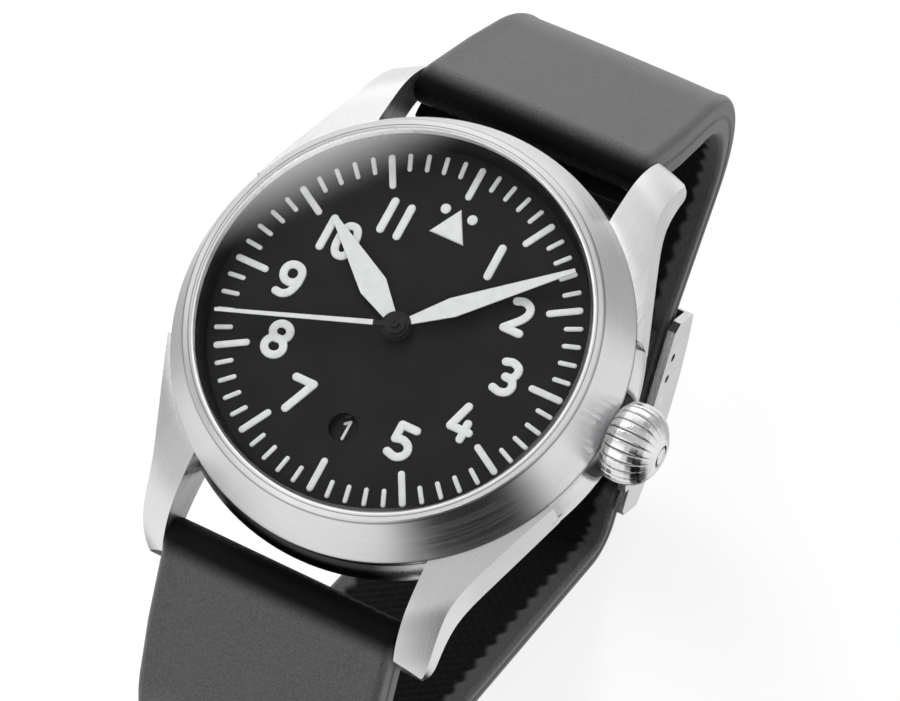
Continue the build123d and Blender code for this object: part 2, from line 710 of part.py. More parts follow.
# Winding rotor and its bearing, behind the train
rotor_bearing = disc(bearing_r, rotor_z - play, bridge_low_z)
save("rotor_bearing", rotor_bearing)
rotor = disc(rotor_r, rotor_z, rotor_z + rotor_t, bearing_r + play)
rotor += disc(rotor_r, rotor_z, rotor_z + rotor_rim_h, rotor_r - rotor_rim_w)
rotor -= Pos(0, rotor_r, rotor_z) * Box(2 * rotor_r + overrun, 2 * rotor_r, 4 * rotor_rim_h)
rotor += disc(rotor_hub_r, rotor_z, rotor_z + rotor_t, bearing_r + play)
window = disc(
    rotor_r - rotor_rim_w - rotor_web_w, rotor_z, rotor_z + rotor_t, rotor_hub_r + rotor_web_w)
for angle in (215.0, 325.0):
    wedge = Rot(0, 0, angle) * Pos(rotor_r / 2, 0, rotor_z) * Box(rotor_r, rotor_window_w, 2 * rotor_t)
    rotor -= window & wedge
save("rotor", rotor)

# Stem, winding pinion and fluted crown
bore_end_x = crown_in_x + crown_bore_l
save("stem", rod_x(stem_r, stem_in_x, bore_end_x, 0, stem_z))
pinion_face = Plane.YZ.offset(stem_in_x + pinion_inset) * Pos(0, stem_z) * (
    RegularPolygon(pinion_r, pinion_sides) - Circle(stem_r + play))
save("winding_pinion", extrude(pinion_face, amount=pinion_l))


def crown_section(x, radius):
    # a ring of lobes between grooves, each lobe with flats that follow its round
    depth = lobe_depth * radius / crown_r
    step = 360.0 / crown_lobes
    points = [around(radius - drop * depth, (i + turn) * step)
              for i in range(crown_lobes) for turn, drop in lobe_shares]
    return Plane.YZ.offset(x) * Pos(0, stem_z) * make_face(Polyline(*points, close=True))


crown = loft([crown_section(crown_in_x + share * crown_l, size * crown_r)
              for share, size in crown_stations_share], ruled=True)
crown -= rod_x(stem_r, crown_in_x - overrun, bore_end_x, 0, stem_z)
save("crown", crown)

# Spring bars, tube and thin tips
strap_clear = strap_w / 2
for name, side in (("spring_bar_12", 1), ("spring_bar_6", -1)):
    bar = rod_x(bar_r, -strap_clear + gap, strap_clear - gap, side * bar_y, bar_z)
    bar += rod_x(bar_tip_r, -lug_in_x - bar_tip_l + gap, lug_in_x + bar_tip_l - gap,
                 side * bar_y, bar_z)
    save(name, bar)

# Strap lines, each as its outward normal's angle and its offset from the origin
leave_normal = leave_angle
arm_normal = arm_slope - 90.0
bar_offset = bar_y * cos(radians(leave_normal)) + bar_z * sin(radians(leave_normal))
leave_offset = bar_offset + strap_end_r
bend_y = bend_reach_y - bend_r
bend_z = (leave_offset - bend_r - bend_y * cos(radians(leave_normal))) / sin(radians(leave_normal))


def bend_tangent(normal):
    return bend_y * cos(radians(normal)) + bend_z * sin(radians(normal)) + bend_r


arm_offset = bend_tangent(arm_normal)
apex_gap = hypot(bend_y + apex_y, bend_z - apex_z)
low_slope = degrees(atan2(bend_z - apex_z, bend_y + apex_y)) - degrees(asin(bend_r / apex_gap))
low_normal = low_slope - 90.0
low_offset = bend_tangent(low_normal)

# Clasp plane: its X runs down the arm from the clasp's upper end, its Y points outward
clasp_z = (arm_offset - clasp_y * cos(radians(arm_normal))) / sin(radians(arm_normal))
clasp_plane = Plane(origin=(0, clasp_y, clasp_z), z_dir=(1, 0, 0),
                    x_dir=(0, -cos(radians(arm_slope)), -sin(radians(arm_slope))))
strap_mid = -strap_end_t / 2
clasp_bar_s = adjust_first_s + 2 * adjust_pitch
strap_12_end_s = clasp_bar_s + strap_tail_l


def on_arm(s, out):
    point = clasp_plane.from_local_coords((s, out, 0))
    return (point.Y, point.Z)


def across(radius, s, out, half):
    # a round bar across the clasp
    return extrude(clasp_plane * Pos(s, out) * Circle(radius), amount=half, both=True)


def strap_outline(outer_points, outer_radii, inner_points, inner_radii):
    outer = FilletPolyline(*outer_points, radius=outer_radii)
    inner = FilletPolyline(*inner_points, radius=inner_radii)
    ends = [Line(outer @ 1, inner @ 1), Line(inner @ 0, outer @ 0)]
    return make_face([outer, inner] + ends)


def width_form():
    # the strap from the front: it tapers from the lugs to the clasp
    top = strap_end_r + bar_z + overrun
    low = apex_z - overrun
    half, end_half = strap_w / 2, strap_end_w / 2
    points = [(half, top), (half, taper_top_z), (end_half, taper_low_z), (end_half, low)]
    points += [(-x, z) for x, z in reversed(points)]
    reach = bend_reach_y + overrun
    return extrude(Plane.XZ * make_face(Polyline(*points, close=True)), amount=reach, both=True)


def from_bar(out):
    shift = direction(leave_normal)
    return (bar_y + out * shift[0], bar_z + out * shift[1])


strap_form = width_form()
outer_leave = (leave_normal, leave_offset)
inner_leave = (leave_normal, leave_offset - strap_lug_t)
inner_bend_r = bend_r - strap_bend_t
outline_12 = strap_outline(
    [from_bar(strap_end_r), line_cross(outer_leave, (arm_normal, arm_offset)),
     on_arm(strap_12_end_s, 0)], [bend_r],
    [from_bar(strap_end_r - strap_lug_t),
     line_cross(inner_leave, (arm_normal, arm_offset - strap_end_t)),
     on_arm(strap_12_end_s, -strap_end_t)], [inner_bend_r])
strap_roll = Pos(bar_y, bar_z) * Circle(strap_end_r)
# a heel under the bar reaches in below the case's edge
strap_heel = Pos(bar_y - heel_in / 2, bar_z - heel_drop + heel_t / 2) * RectangleRounded(
    heel_in, heel_t, heel_round)
strap_12 = extrude(Plane.YZ * (outline_12 + strap_roll + strap_heel), amount=strap_w / 2, both=True)
strap_12 &= strap_form
strap_12 -= rod_x(bar_r + play, -strap_w, strap_w, bar_y, bar_z)
tube_places = [clasp_bar_s - tube_pitch * n for n in (1, 2)]
for s in tube_places + [clasp_bar_s]:
    strap_12 -= across(strap_tube_r, s, strap_mid, strap_w)
save("strap_12", strap_12)
tubes = [across(strap_tube_r, s, strap_mid, strap_end_w / 2 + play) for s in tube_places]
save("strap_tubes", Compound(children=tubes))

# 6 o'clock strap, drawn mirrored: it runs under the wrist, folds at the apex and
# comes back up into the clasp's lower end
mirror_arm = -180.0 - arm_normal
fold_out = line_cross((low_normal, low_offset), (mirror_arm, arm_offset))
fold_in = line_cross((low_normal, low_offset - strap_end_t), (mirror_arm, arm_offset - strap_end_t))
end_out = on_arm(end_bar_s, 0)
end_in = on_arm(end_bar_s, -strap_end_t)
outline_6 = strap_outline(
    [from_bar(strap_end_r), line_cross(outer_leave, (low_normal, low_offset)), fold_out,
     (-end_out[0], end_out[1])], [bend_r, apex_r],
    [from_bar(strap_end_r - strap_lug_t),
     line_cross(inner_leave, (low_normal, low_offset - strap_end_t)), fold_in,
     (-end_in[0], end_in[1])], [inner_bend_r, apex_r - strap_end_t])
end_mid = on_arm(end_bar_s, strap_mid)
end_roll = Pos(-end_mid[0], end_mid[1]) * Circle(strap_end_t / 2)
face_6 = outline_6 + strap_roll + strap_heel + end_roll
strap_6 = extrude(Plane.YZ * face_6, amount=strap_w / 2, both=True)
strap_6 &= strap_form
strap_6 = mirror(strap_6, Plane.XZ)
strap_6 -= rod_x(bar_r + play, -strap_w, strap_w, -bar_y, bar_z)
strap_6 -= across(strap_tube_r, end_bar_s, strap_mid, strap_w)
save("strap_6", strap_6)
save("strap_6_end_bar", across(strap_tube_r, end_bar_s, strap_mid, strap_end_w / 2))

# Clasp cover: curved plate with two cheeks that have adjusting holes
half_clasp = clasp_w / 2
cheek_in = half_clasp - cheek_t
cover_top = ThreePointArc((0, cover_lift + cover_t), (clasp_l / 2, cover_lift + cover_t + cover_crown),
                          (clasp_l, cover_lift + cover_t))
cover_side = make_face([
    cover_top,
    Line((clasp_l, cover_lift + cover_t), (clasp_l, -cheek_drop + cover_t)),
    Line((clasp_l, -cheek_drop + cover_t), (clasp_l - cover_t, -cheek_drop)),
    Line((clasp_l - cover_t, -cheek_drop), (cover_t, -cheek_drop)),
    Line((cover_t, -cheek_drop), (0, -cheek_drop + cover_t)),
    Line((0, -cheek_drop + cover_t), (0, cover_lift + cover_t)),
])
hollow_top = ThreePointArc((-overrun, cover_lift), (clasp_l / 2, cover_lift + cover_crown),
                           (clasp_l + overrun, cover_lift))
hollow_side = make_face([
    hollow_top,
    Line((clasp_l + overrun, cover_lift), (clasp_l + overrun, -cheek_drop - overrun)),
    Line((clasp_l + overrun, -cheek_drop - overrun), (-overrun, -cheek_drop - overrun)),
    Line((-overrun, -cheek_drop - overrun), (-overrun, cover_lift)),
])
cover = extrude(clasp_plane * cover_side, amount=half_clasp, both=True)
cover -= extrude(clasp_plane * hollow_side, amount=cheek_in, both=True)
for n in range(adjust_holes):
    cover -= across(adjust_hole_r, adjust_first_s + n * adjust_pitch, strap_mid, clasp_w)
cover -= across(button_r + play, button_s, strap_mid, clasp_w)
hinge_out = -cheek_drop - blade_gap
ear = Pos(cover_hinge_s, hinge_out) * Circle(ear_r)
ear += Pos(cover_hinge_s, (hinge_out - cheek_drop) / 2) * Rectangle(ear_w, cheek_drop / 2)
ears = extrude(clasp_plane * ear, amount=half_clasp, both=True)
ears -= extrude(clasp_plane * ear, amount=cheek_in, both=True)
cover += ears
cover -= across(pin_r, cover_hinge_s, hinge_out, clasp_w)
save("clasp_cover", cover)
save("clasp_bar", across(adjust_hole_r, clasp_bar_s, strap_mid, half_clasp)
     + across(strap_tube_r, clasp_bar_s, strap_mid, cheek_in - play))
save("cover_hinge_pin", across(pin_r, cover_hinge_s, hinge_out, half_clasp))

# Blades: the first hangs on the cover, the second folds back on the first
half_blade = blade_w / 2
low_out = hinge_out - knuckle_r - blade_gap - blade_t / 2
blade_1 = extrude(clasp_plane * (
    Pos((cover_hinge_s + far_hinge_s) / 2, hinge_out) * Rectangle(cover_hinge_s - far_hinge_s, blade_t)
    + Pos(cover_hinge_s, hinge_out) * Circle(knuckle_r)), amount=half_blade, both=True)
blade_1 -= across(pin_r + play, cover_hinge_s, hinge_out, clasp_w)
knuckle_third = half_blade / 3
far_out = (hinge_out + low_out) / 2
far_knuckle = Pos(far_hinge_s, far_out) * Circle(knuckle_r)
notch = Pos(far_hinge_s, far_out) * Circle(knuckle_r + blade_gap)
blade_1 += extrude(clasp_plane * far_knuckle, amount=half_blade, both=True)
blade_1 -= extrude(clasp_plane * notch, amount=knuckle_third, both=True)
blade_1 -= across(pin_r, far_hinge_s, far_out, clasp_w)
save("clasp_blade_1", blade_1)
save("far_hinge_pin", across(pin_r, far_hinge_s, far_out, half_blade))
blade_2 = extrude(clasp_plane * (
    Pos((blade_end_s + far_hinge_s) / 2, low_out) * Rectangle(blade_end_s - far_hinge_s, blade_t)),
    amount=half_blade, both=True)
blade_2 -= extrude(clasp_plane * notch, amount=half_blade, both=True)
blade_2 += extrude(clasp_plane * far_knuckle, amount=knuckle_third - blade_gap, both=True)
tongue = Pos(far_hinge_s + knuckle_r, low_out) * Rectangle(2 * knuckle_r, blade_t)
blade_2 += extrude(clasp_plane * tongue, amount=knuckle_third - blade_gap, both=True)
blade_2 -= extrude(clasp_plane * Pos((blade_end_s + far_hinge_s) / 2, low_out) * Rectangle(
    0.5 * (blade_end_s - far_hinge_s), 2 * blade_t), amount=half_blade / 2, both=True)
blade_2 -= across(pin_r + play, far_hinge_s, far_out, clasp_w)
save("clasp_blade_2", blade_2)

# Push buttons through the cheeks
for name, side in (("clasp_button_right", 1), ("clasp_button_left", -1)):
    stem_part = extrude(clasp_plane * Pos(button_s, strap_mid) * Circle(button_r),
                        amount=side * (half_clasp + button_proud))
    stem_part -= extrude(clasp_plane * Pos(button_s, strap_mid) * Circle(2 * button_r),
                         amount=side * (cheek_in - button_travel))
    save(name, stem_part)
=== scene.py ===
import math

import bpy
import numpy as np
from mathutils import Matrix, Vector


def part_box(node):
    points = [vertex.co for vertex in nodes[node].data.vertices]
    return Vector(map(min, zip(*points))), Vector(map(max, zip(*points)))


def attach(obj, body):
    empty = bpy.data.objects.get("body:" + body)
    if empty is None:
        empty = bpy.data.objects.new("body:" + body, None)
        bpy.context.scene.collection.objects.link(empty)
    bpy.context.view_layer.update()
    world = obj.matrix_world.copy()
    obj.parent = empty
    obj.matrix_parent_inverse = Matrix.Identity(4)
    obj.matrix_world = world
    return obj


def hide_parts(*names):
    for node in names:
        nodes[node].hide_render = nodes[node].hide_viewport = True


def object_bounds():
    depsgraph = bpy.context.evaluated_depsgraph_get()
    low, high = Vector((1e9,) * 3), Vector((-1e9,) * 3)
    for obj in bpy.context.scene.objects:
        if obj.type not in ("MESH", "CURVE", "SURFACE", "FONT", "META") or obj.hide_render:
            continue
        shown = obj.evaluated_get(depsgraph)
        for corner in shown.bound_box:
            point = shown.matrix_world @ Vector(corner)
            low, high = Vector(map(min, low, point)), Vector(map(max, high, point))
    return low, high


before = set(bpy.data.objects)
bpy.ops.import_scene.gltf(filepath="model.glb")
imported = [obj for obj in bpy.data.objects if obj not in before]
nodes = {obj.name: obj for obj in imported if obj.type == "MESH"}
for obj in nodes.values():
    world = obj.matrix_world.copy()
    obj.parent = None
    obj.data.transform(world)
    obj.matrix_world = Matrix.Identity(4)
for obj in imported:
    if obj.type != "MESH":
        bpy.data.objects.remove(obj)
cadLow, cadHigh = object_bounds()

# Pilot watch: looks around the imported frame. Sizes below are in mm and become metres in the meshes.
mm = 0.001
print("frame loaded with", len(nodes), "nodes")


def boxMm(node):
    low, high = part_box(node)
    return np.array(low) / mm, np.array(high) / mm


# Node tree helpers

def addNode(tree, kind, sockets=None, **props):
    node = tree.nodes.new(kind)
    for key, value in props.items():
        setattr(node, key, value)
    for key, value in (sockets or {}).items():
        if isinstance(value, bpy.types.NodeSocket):
            tree.links.new(value, node.inputs[key])
        else:
            node.inputs[key].default_value = value
    return node


def calc(tree, operation, first, second=0.0):
    return addNode(tree, "ShaderNodeMath", {0: first, 1: second}, operation=operation).outputs[0]


def product(tree, first, *others):
    for other in others:
        first = calc(tree, "MULTIPLY", first, other)
    return first


def vectorCalc(tree, operation, first, second=(0.0, 0.0, 0.0)):
    node = addNode(tree, "ShaderNodeVectorMath", {0: first, 1: second}, operation=operation)
    return node.outputs["Value" if operation in ("DOT_PRODUCT", "LENGTH") else "Vector"]


def joined(tree, x, y, z):
    return addNode(tree, "ShaderNodeCombineXYZ", {0: x, 1: y, 2: z}).outputs[0]


def parted(tree, vector):
    return addNode(tree, "ShaderNodeSeparateXYZ", {0: vector}).outputs


def soften(tree, value, low, high, start=0.0, end=1.0):
    # a smooth step from start to end while value goes from low to high
    sockets = {"Value": value, "From Min": low, "From Max": high, "To Min": start, "To Max": end}
    return addNode(tree, "ShaderNodeMapRange", sockets, interpolation_type="SMOOTHSTEP").outputs[0]


def mixColour(tree, factor, first, second):
    sockets = {0: factor, 6: first, 7: second}
    return addNode(tree, "ShaderNodeMix", sockets, data_type="RGBA").outputs[2]


def mixValue(tree, factor, first, second):
    sockets = {0: factor, 2: first, 3: second}
    return addNode(tree, "ShaderNodeMix", sockets, data_type="FLOAT").outputs[0]


def noise(tree, vector, scale=1.0, detail=2.0, roughness=0.5):
    sockets = {"Vector": vector, "Scale": scale, "Detail": detail, "Roughness": roughness}
    return addNode(tree, "ShaderNodeTexNoise", sockets).outputs[0]


def grey(level):
    return (level, level, level, 1.0)


def pointMm(tree):
    place = addNode(tree, "ShaderNodeTexCoord").outputs["Object"]
    return vectorCalc(tree, "MULTIPLY", place, (1 / mm, 1 / mm, 1 / mm))


def clearedTree(owner):
    owner.use_nodes = True
    owner.node_tree.nodes.clear()
    return owner.node_tree


def newMaterial(name, principled):
    material = bpy.data.materials.new(name)
    tree = clearedTree(material)
    shader = addNode(tree, "ShaderNodeBsdfPrincipled", principled)
    addNode(tree, "ShaderNodeOutputMaterial", {"Surface": shader.outputs[0]})
    return material, tree, shader


def bump(tree, shader, height, depth):
    # depth is the height in mm of a full step of the pattern
    sockets = {"Height": height, "Distance": depth * mm, "Strength": 1.0}
    tree.links.new(addNode(tree, "ShaderNodeBump", sockets).outputs[0], shader.inputs["Normal"])


# Noise values lie about 0.5. A band is the part of them over which a look changes.
bands = {"wide": (0.2, 0.8), "lines": (0.25, 0.75), "middle": (0.3, 0.7), "narrow": (0.35, 0.65),
         "upper": (0.45, 0.8), "peaks": (0.6, 0.75)}
lineNoise = {"detail": 3.0, "roughness": 0.6}


# Steel finishes

brushing = {"steep": (0.25, 0.4), "cloudShade": 0.95, "roughFactors": (0.8, 1.25)}


def roundGrain(tree, point, look):
    # circles about the dial's axis, which drift slowly with the turn
    x, y, z = parted(tree, point)
    flat = joined(tree, x, y, 0.0)
    reach = vectorCalc(tree, "LENGTH", flat)
    turn = vectorCalc(tree, "NORMALIZE", flat)
    lines = joined(tree, product(tree, calc(tree, "ADD", reach, z), look["lines"]), 0.0, 0.0)
    drift = vectorCalc(tree, "MULTIPLY", turn, (1.0, look["along"], look["along"]))
    streak = noise(tree, vectorCalc(tree, "ADD", lines, drift), **lineNoise)
    shade = 1.0
    for place, halfWidth, factor in look.get("edges", []):
        # painted shade: a thin dark line at each of these radii, on the ridge of the slope and by the
        # crystal's edge
        near = calc(tree, "ABSOLUTE", calc(tree, "SUBTRACT", reach, place))
        shade = product(tree, shade, soften(tree, near, 0.0, halfWidth, factor, 1.0))
    if "foot" in look:
        # painted shade in the narrow gap under the slope, and the ring a little darker within the rim
        shade = product(tree, shade, soften(tree, z, *look["foot"]), soften(tree, reach, *look["ring"]))
    return streak, flat, shade


def straightGrain(tree, point, look):
    # lines sit side by side in x on the faces that look up, and in height on steep walls
    lines, along = look["lines"], look["along"]
    local = addNode(tree, "ShaderNodeTexCoord").outputs["Normal"]
    facing = calc(tree, "ABSOLUTE", parted(tree, local)[2])
    upper, outer = (noise(tree, vectorCalc(tree, "MULTIPLY", point, scale), **lineNoise)
                    for scale in ((lines, along, along), (along, along, lines)))
    streak = mixValue(tree, soften(tree, facing, *brushing["steep"]), outer, upper)
    way = np.array(look["grain"], float) / np.linalg.norm(look["grain"])
    world = addNode(tree, "ShaderNodeVectorTransform", {0: tuple(way)}, vector_type="VECTOR",
                    convert_from="OBJECT", convert_to="WORLD").outputs[0]
    normal = addNode(tree, "ShaderNodeNewGeometry").outputs["Normal"]
    shade = recessShade(tree, parted(tree, point), look["recess"]) if "recess" in look else 1.0
    return streak, vectorCalc(tree, "CROSS_PRODUCT", normal, world), shade


def recessShade(tree, place, look):
    # painted shade: the wall between the lugs and the seat of the crown are darkened where shade falls
    x, y, z = place
    between = soften(tree, calc(tree, "ABSOLUTE", y), *look["lugFrom"])
    wall = soften(tree, calc(tree, "ABSOLUTE", x), *look["wallFade"], look["wallShade"], 1.0)
    rise = calc(tree, "SUBTRACT", z, look["crownHeight"])
    fromAxis = vectorCalc(tree, "LENGTH", joined(tree, y, rise, 0.0))
    seat = product(tree, soften(tree, fromAxis, *look["seatReach"], 1.0, 0.0),
                   calc(tree, "GREATER_THAN", x, look["seatFrom"]), 1 - look["seatShade"])
    return product(tree, mixValue(tree, between, 1.0, wall), calc(tree, "SUBTRACT", 1.0, seat))


def brushedSteel(name, look):
    # Fine lines run along the brushing, and highlights spread across them. The grain is "round"
    # or the way of straight lines.
    principled = {"Metallic": 1.0, "Roughness": look["roughness"], "Anisotropic": look["spread"]}
    material, tree, shader = newMaterial(name, principled)
    point = pointMm(tree)
    grain = roundGrain if look["grain"] == "round" else straightGrain
    # extra scales the colour: painted shade at edges, under the bezel and in recesses, and the ring's tone
    streak, across, extra = grain(tree, point, look)
    cloud = noise(tree, point, look["cloudScale"])
    shade = product(tree, soften(tree, streak, *bands["lines"], 1 - look["contrast"], 1.0),
                    soften(tree, cloud, *bands["middle"], brushing["cloudShade"], 1.0), extra)
    colour = mixColour(tree, shade, (0.0, 0.0, 0.0, 1.0), look["colour"])
    tree.links.new(colour, shader.inputs["Base Color"])
    least, most = (look["roughness"] * factor for factor in brushing["roughFactors"])
    rough = soften(tree, streak, *bands["wide"], least, most)
    tree.links.new(rough, shader.inputs["Roughness"])
    tree.links.new(vectorCalc(tree, "NORMALIZE", across), shader.inputs["Tangent"])
    bump(tree, shader, streak, look["depth"])
    return material


def polishedSteel(name, look):
    material, tree, shader = newMaterial(name, {"Metallic": 1.0})
    point = pointMm(tree)
    haze = noise(tree, point, look["hazeScale"], detail=4.0, roughness=0.65)
    scratch = noise(tree, vectorCalc(tree, "MULTIPLY", point, look["scratchWay"]))
    colour = mixColour(tree, haze, look["colourLow"], look["colourHigh"])
    # painted shade: the crown's grooves and the ring cut in its end darken towards this colour
    if "grooveShadeColour" in look:
        groove = addNode(tree, "ShaderNodeAttribute", attribute_name="groove").outputs["Fac"]
        colour = mixColour(tree, groove, colour, look["grooveShadeColour"])
    tree.links.new(colour, shader.inputs["Base Color"])
    rough = calc(tree, "ADD", soften(tree, haze, *bands["middle"], look["roughLow"], look["roughHigh"]),
                 soften(tree, scratch, *bands["peaks"], 0.0, look["scratchRough"]))
    tree.links.new(rough, shader.inputs["Roughness"])
    bump(tree, shader, haze, look["depth"])
    return material


paintRoughFactors = (0.85, 1.15)


def paint(name, look):
    # thin paint or lacquer: a colour with faint mottling and a fine tooth
    principled = {"Roughness": look["roughness"], "Specular IOR Level": look["gloss"]}
    material, tree, shader = newMaterial(name, principled)
    point = pointMm(tree)
    tooth = noise(tree, point, look["toothScale"], **lineNoise)
    mottle = noise(tree, point, look["mottleScale"])
    colour = mixColour(tree, soften(tree, mottle, *bands["middle"]), look["colourLow"], look["colourHigh"])
    tree.links.new(colour, shader.inputs["Base Color"])
    least, most = (look["roughness"] * factor for factor in paintRoughFactors)
    tree.links.new(soften(tree, tooth, *bands["wide"], least, most), shader.inputs["Roughness"])
    bump(tree, shader, tooth, look["depth"])
    return material, tree, shader


# Edges give each painted dark line's radius, half width and factor. The other ranges give from and to,
# and foot and ring also the factor at both; the foot is painted shade.
steelLooks = {
    "bezelSteel": {"grain": "round", "colour": (0.88, 0.88, 0.89, 1), "roughness": 0.34, "spread": 0.9,
                   "lines": 9.0, "along": 2.0, "contrast": 0.10, "cloudScale": 0.2, "depth": 0.0007,
                   "edges": [(17.5, 0.09, 0.35), (16.95, 0.08, 0.3)], "foot": (5.5, 5.9, 0.2, 1.0),
                   "ring": (17.42, 17.5, 0.85, 1.0)},
    "caseSteel": {"grain": (0.0, 1.0, 0.0), "colour": (0.84, 0.84, 0.85, 1), "roughness": 0.3,
                  "spread": 0.5, "lines": 14.0, "along": 0.25, "contrast": 0.06, "cloudScale": 0.2,
                  "depth": 0.0003, "recess": {
                      "lugFrom": (13.0, 15.0), "wallFade": (6.5, 11.2), "wallShade": 0.06,
                      "crownHeight": 4.4, "seatReach": (3.9, 4.3), "seatFrom": 18.5, "seatShade": 0.25}},
    "backSteel": {"grain": "round", "colour": (0.74, 0.74, 0.75, 1), "roughness": 0.24, "spread": 0.7,
                  "lines": 6.0, "along": 2.0, "contrast": 0.15, "cloudScale": 0.2, "depth": 0.001},
    "claspSteel": {"grain": (0.0, 0.755, 0.656), "colour": (0.76, 0.76, 0.77, 1), "roughness": 0.24,
                   "spread": 0.6, "lines": 7.0, "along": 0.4, "contrast": 0.12, "cloudScale": 0.4,
                   "depth": 0.001},
}
materials = {name: brushedSteel(name, look) for name, look in steelLooks.items()}

polishLooks = {
    "crownSteel": {"colourLow": (0.78, 0.78, 0.79, 1), "colourHigh": (0.86, 0.86, 0.87, 1),
                   "hazeScale": 1.5, "scratchWay": (0.5, 9.0, 9.0), "roughLow": 0.20, "roughHigh": 0.28,
                   "scratchRough": 0.06, "depth": 0.0006, "grooveShadeColour": grey(0.05)},
    "pinSteel": {"colourLow": (0.74, 0.74, 0.75, 1), "colourHigh": (0.84, 0.84, 0.85, 1),
                 "hazeScale": 2.0, "scratchWay": (9.0, 1.0, 9.0), "roughLow": 0.12, "roughHigh": 0.2,
                 "scratchRough": 0.06, "depth": 0.0006},
    "worksSteel": {"colourLow": (0.55, 0.56, 0.60, 1), "colourHigh": (0.70, 0.71, 0.75, 1),
                   "hazeScale": 2.0, "scratchWay": (6.0, 6.0, 1.0), "roughLow": 0.15, "roughHigh": 0.3,
                   "scratchRough": 0.1, "depth": 0.0008},
    "platedBrass": {"colourLow": (0.62, 0.60, 0.55, 1), "colourHigh": (0.78, 0.76, 0.70, 1),
                    "hazeScale": 1.2, "scratchWay": (7.0, 0.4, 7.0), "roughLow": 0.22, "roughHigh": 0.38,
                    "scratchRough": 0.1, "depth": 0.0015},
    "giltBrass": {"colourLow": (0.72, 0.52, 0.22, 1), "colourHigh": (0.86, 0.68, 0.34, 1),
                  "hazeScale": 1.5, "scratchWay": (7.0, 0.5, 7.0), "roughLow": 0.2, "roughHigh": 0.32,
                  "scratchRough": 0.1, "depth": 0.001},
}
materials.update({name: polishedSteel(name, look) for name, look in polishLooks.items()})

paintLooks = {
    "dialBlack": {"colourLow": grey(0.0140), "colourHigh": grey(0.0165), "roughness": 0.6, "gloss": 0.08,
                  "toothScale": 14.0, "mottleScale": 0.25, "depth": 0.0012},
    "flangeBlack": {"colourLow": grey(0.008), "colourHigh": grey(0.011), "roughness": 0.5, "gloss": 0.15,
                    "toothScale": 10.0, "mottleScale": 0.5, "depth": 0.001},
    "dateBlack": {"colourLow": grey(0.005), "colourHigh": grey(0.007), "roughness": 0.6, "gloss": 0.3,
                  "toothScale": 10.0, "mottleScale": 0.5, "depth": 0.001},
    "lume": {"colourLow": (0.61, 0.615, 0.60, 1), "colourHigh": (0.67, 0.675, 0.665, 1), "roughness": 0.6,
             "gloss": 0.35, "toothScale": 9.0, "mottleScale": 1.5, "depth": 0.006},
    "sealNylon": {"colourLow": grey(0.80), "colourHigh": grey(0.88), "roughness": 0.35, "gloss": 0.5,
                  "toothScale": 6.0, "mottleScale": 0.6, "depth": 0.001},
    "holderPlastic": {"colourLow": grey(0.30), "colourHigh": grey(0.34), "roughness": 0.45, "gloss": 0.5,
                      "toothScale": 5.0, "mottleScale": 0.4, "depth": 0.002},
}
for name, look in paintLooks.items():
    materials[name] = paint(name, look)[0]


def handPaint(name, look):
    # white lume from the hub outwards, and black lacquer round the axis
    material, tree, shader = paint(name, look)
    x, y = parted(tree, pointMm(tree))[:2]
    reach = vectorCalc(tree, "LENGTH", joined(tree, x, y, 0.0))
    white = calc(tree, "GREATER_THAN", reach, look["hubReach"])
    lume = shader.inputs["Base Color"].links[0].from_socket
    tree.links.new(mixColour(tree, white, look["hubColour"], lume), shader.inputs["Base Color"])
    return material


handLook = dict(paintLooks["lume"], colourLow=grey(0.60), colourHigh=grey(0.64), depth=0.002,
                hubColour=grey(0.012), hubReach=1.32)
materials["handWhite"] = handPaint("handWhite", handLook)
materials["secondWhite"] = handPaint("secondWhite", dict(handLook, hubReach=1.85))


def sapphire(name, look):
    # Clear glass: what isn't reflected goes straight through, and light passes to the dial. The
    # under side has a coating against reflections, so only the faces that look out are glossy.
    material = bpy.data.materials.new(name)
    tree = clearedTree(material)
    point = pointMm(tree)
    smear = noise(tree, point, look["smearScale"], detail=3.0)
    rough = soften(tree, smear, *bands["middle"], look["roughLow"], look["roughHigh"])
    gloss = addNode(tree, "ShaderNodeBsdfGlossy", {"Color": look["gloss"], "Roughness": rough})
    # the faces bow outwards by the dome's height at the middle, as a parabola of the radius
    x, y = parted(tree, point)[:2]
    squared = calc(tree, "ADD", product(tree, x, x), product(tree, y, y))
    bump(tree, gloss, product(tree, squared, -1.0 / look["reach"] ** 2), look["dome"])
    clear = addNode(tree, "ShaderNodeBsdfTransparent", {"Color": look["clear"]})
    fresnel = addNode(tree, "ShaderNodeFresnel", {"IOR": look["ior"]}).outputs[0]
    shadow = addNode(tree, "ShaderNodeLightPath").outputs["Is Shadow Ray"]
    coated = addNode(tree, "ShaderNodeNewGeometry").outputs["Backfacing"]
    plain = calc(tree, "MAXIMUM", shadow, coated)
    factor = product(tree, fresnel, calc(tree, "SUBTRACT", 1.0, plain))
    mixed = addNode(tree, "ShaderNodeMixShader", {0: factor, 1: clear.outputs[0], 2: gloss.outputs[0]})
    addNode(tree, "ShaderNodeOutputMaterial", {"Surface": mixed.outputs[0]})
    return material


sapphireLook = {"ior": 1.77, "smearScale": 0.3, "roughLow": 0.01, "roughHigh": 0.03, "dome": 0.25,
                "reach": 16.6, "gloss": grey(1.0), "clear": (0.985, 0.99, 0.99, 1)}
materials["sapphire"] = sapphire("sapphire", sapphireLook)


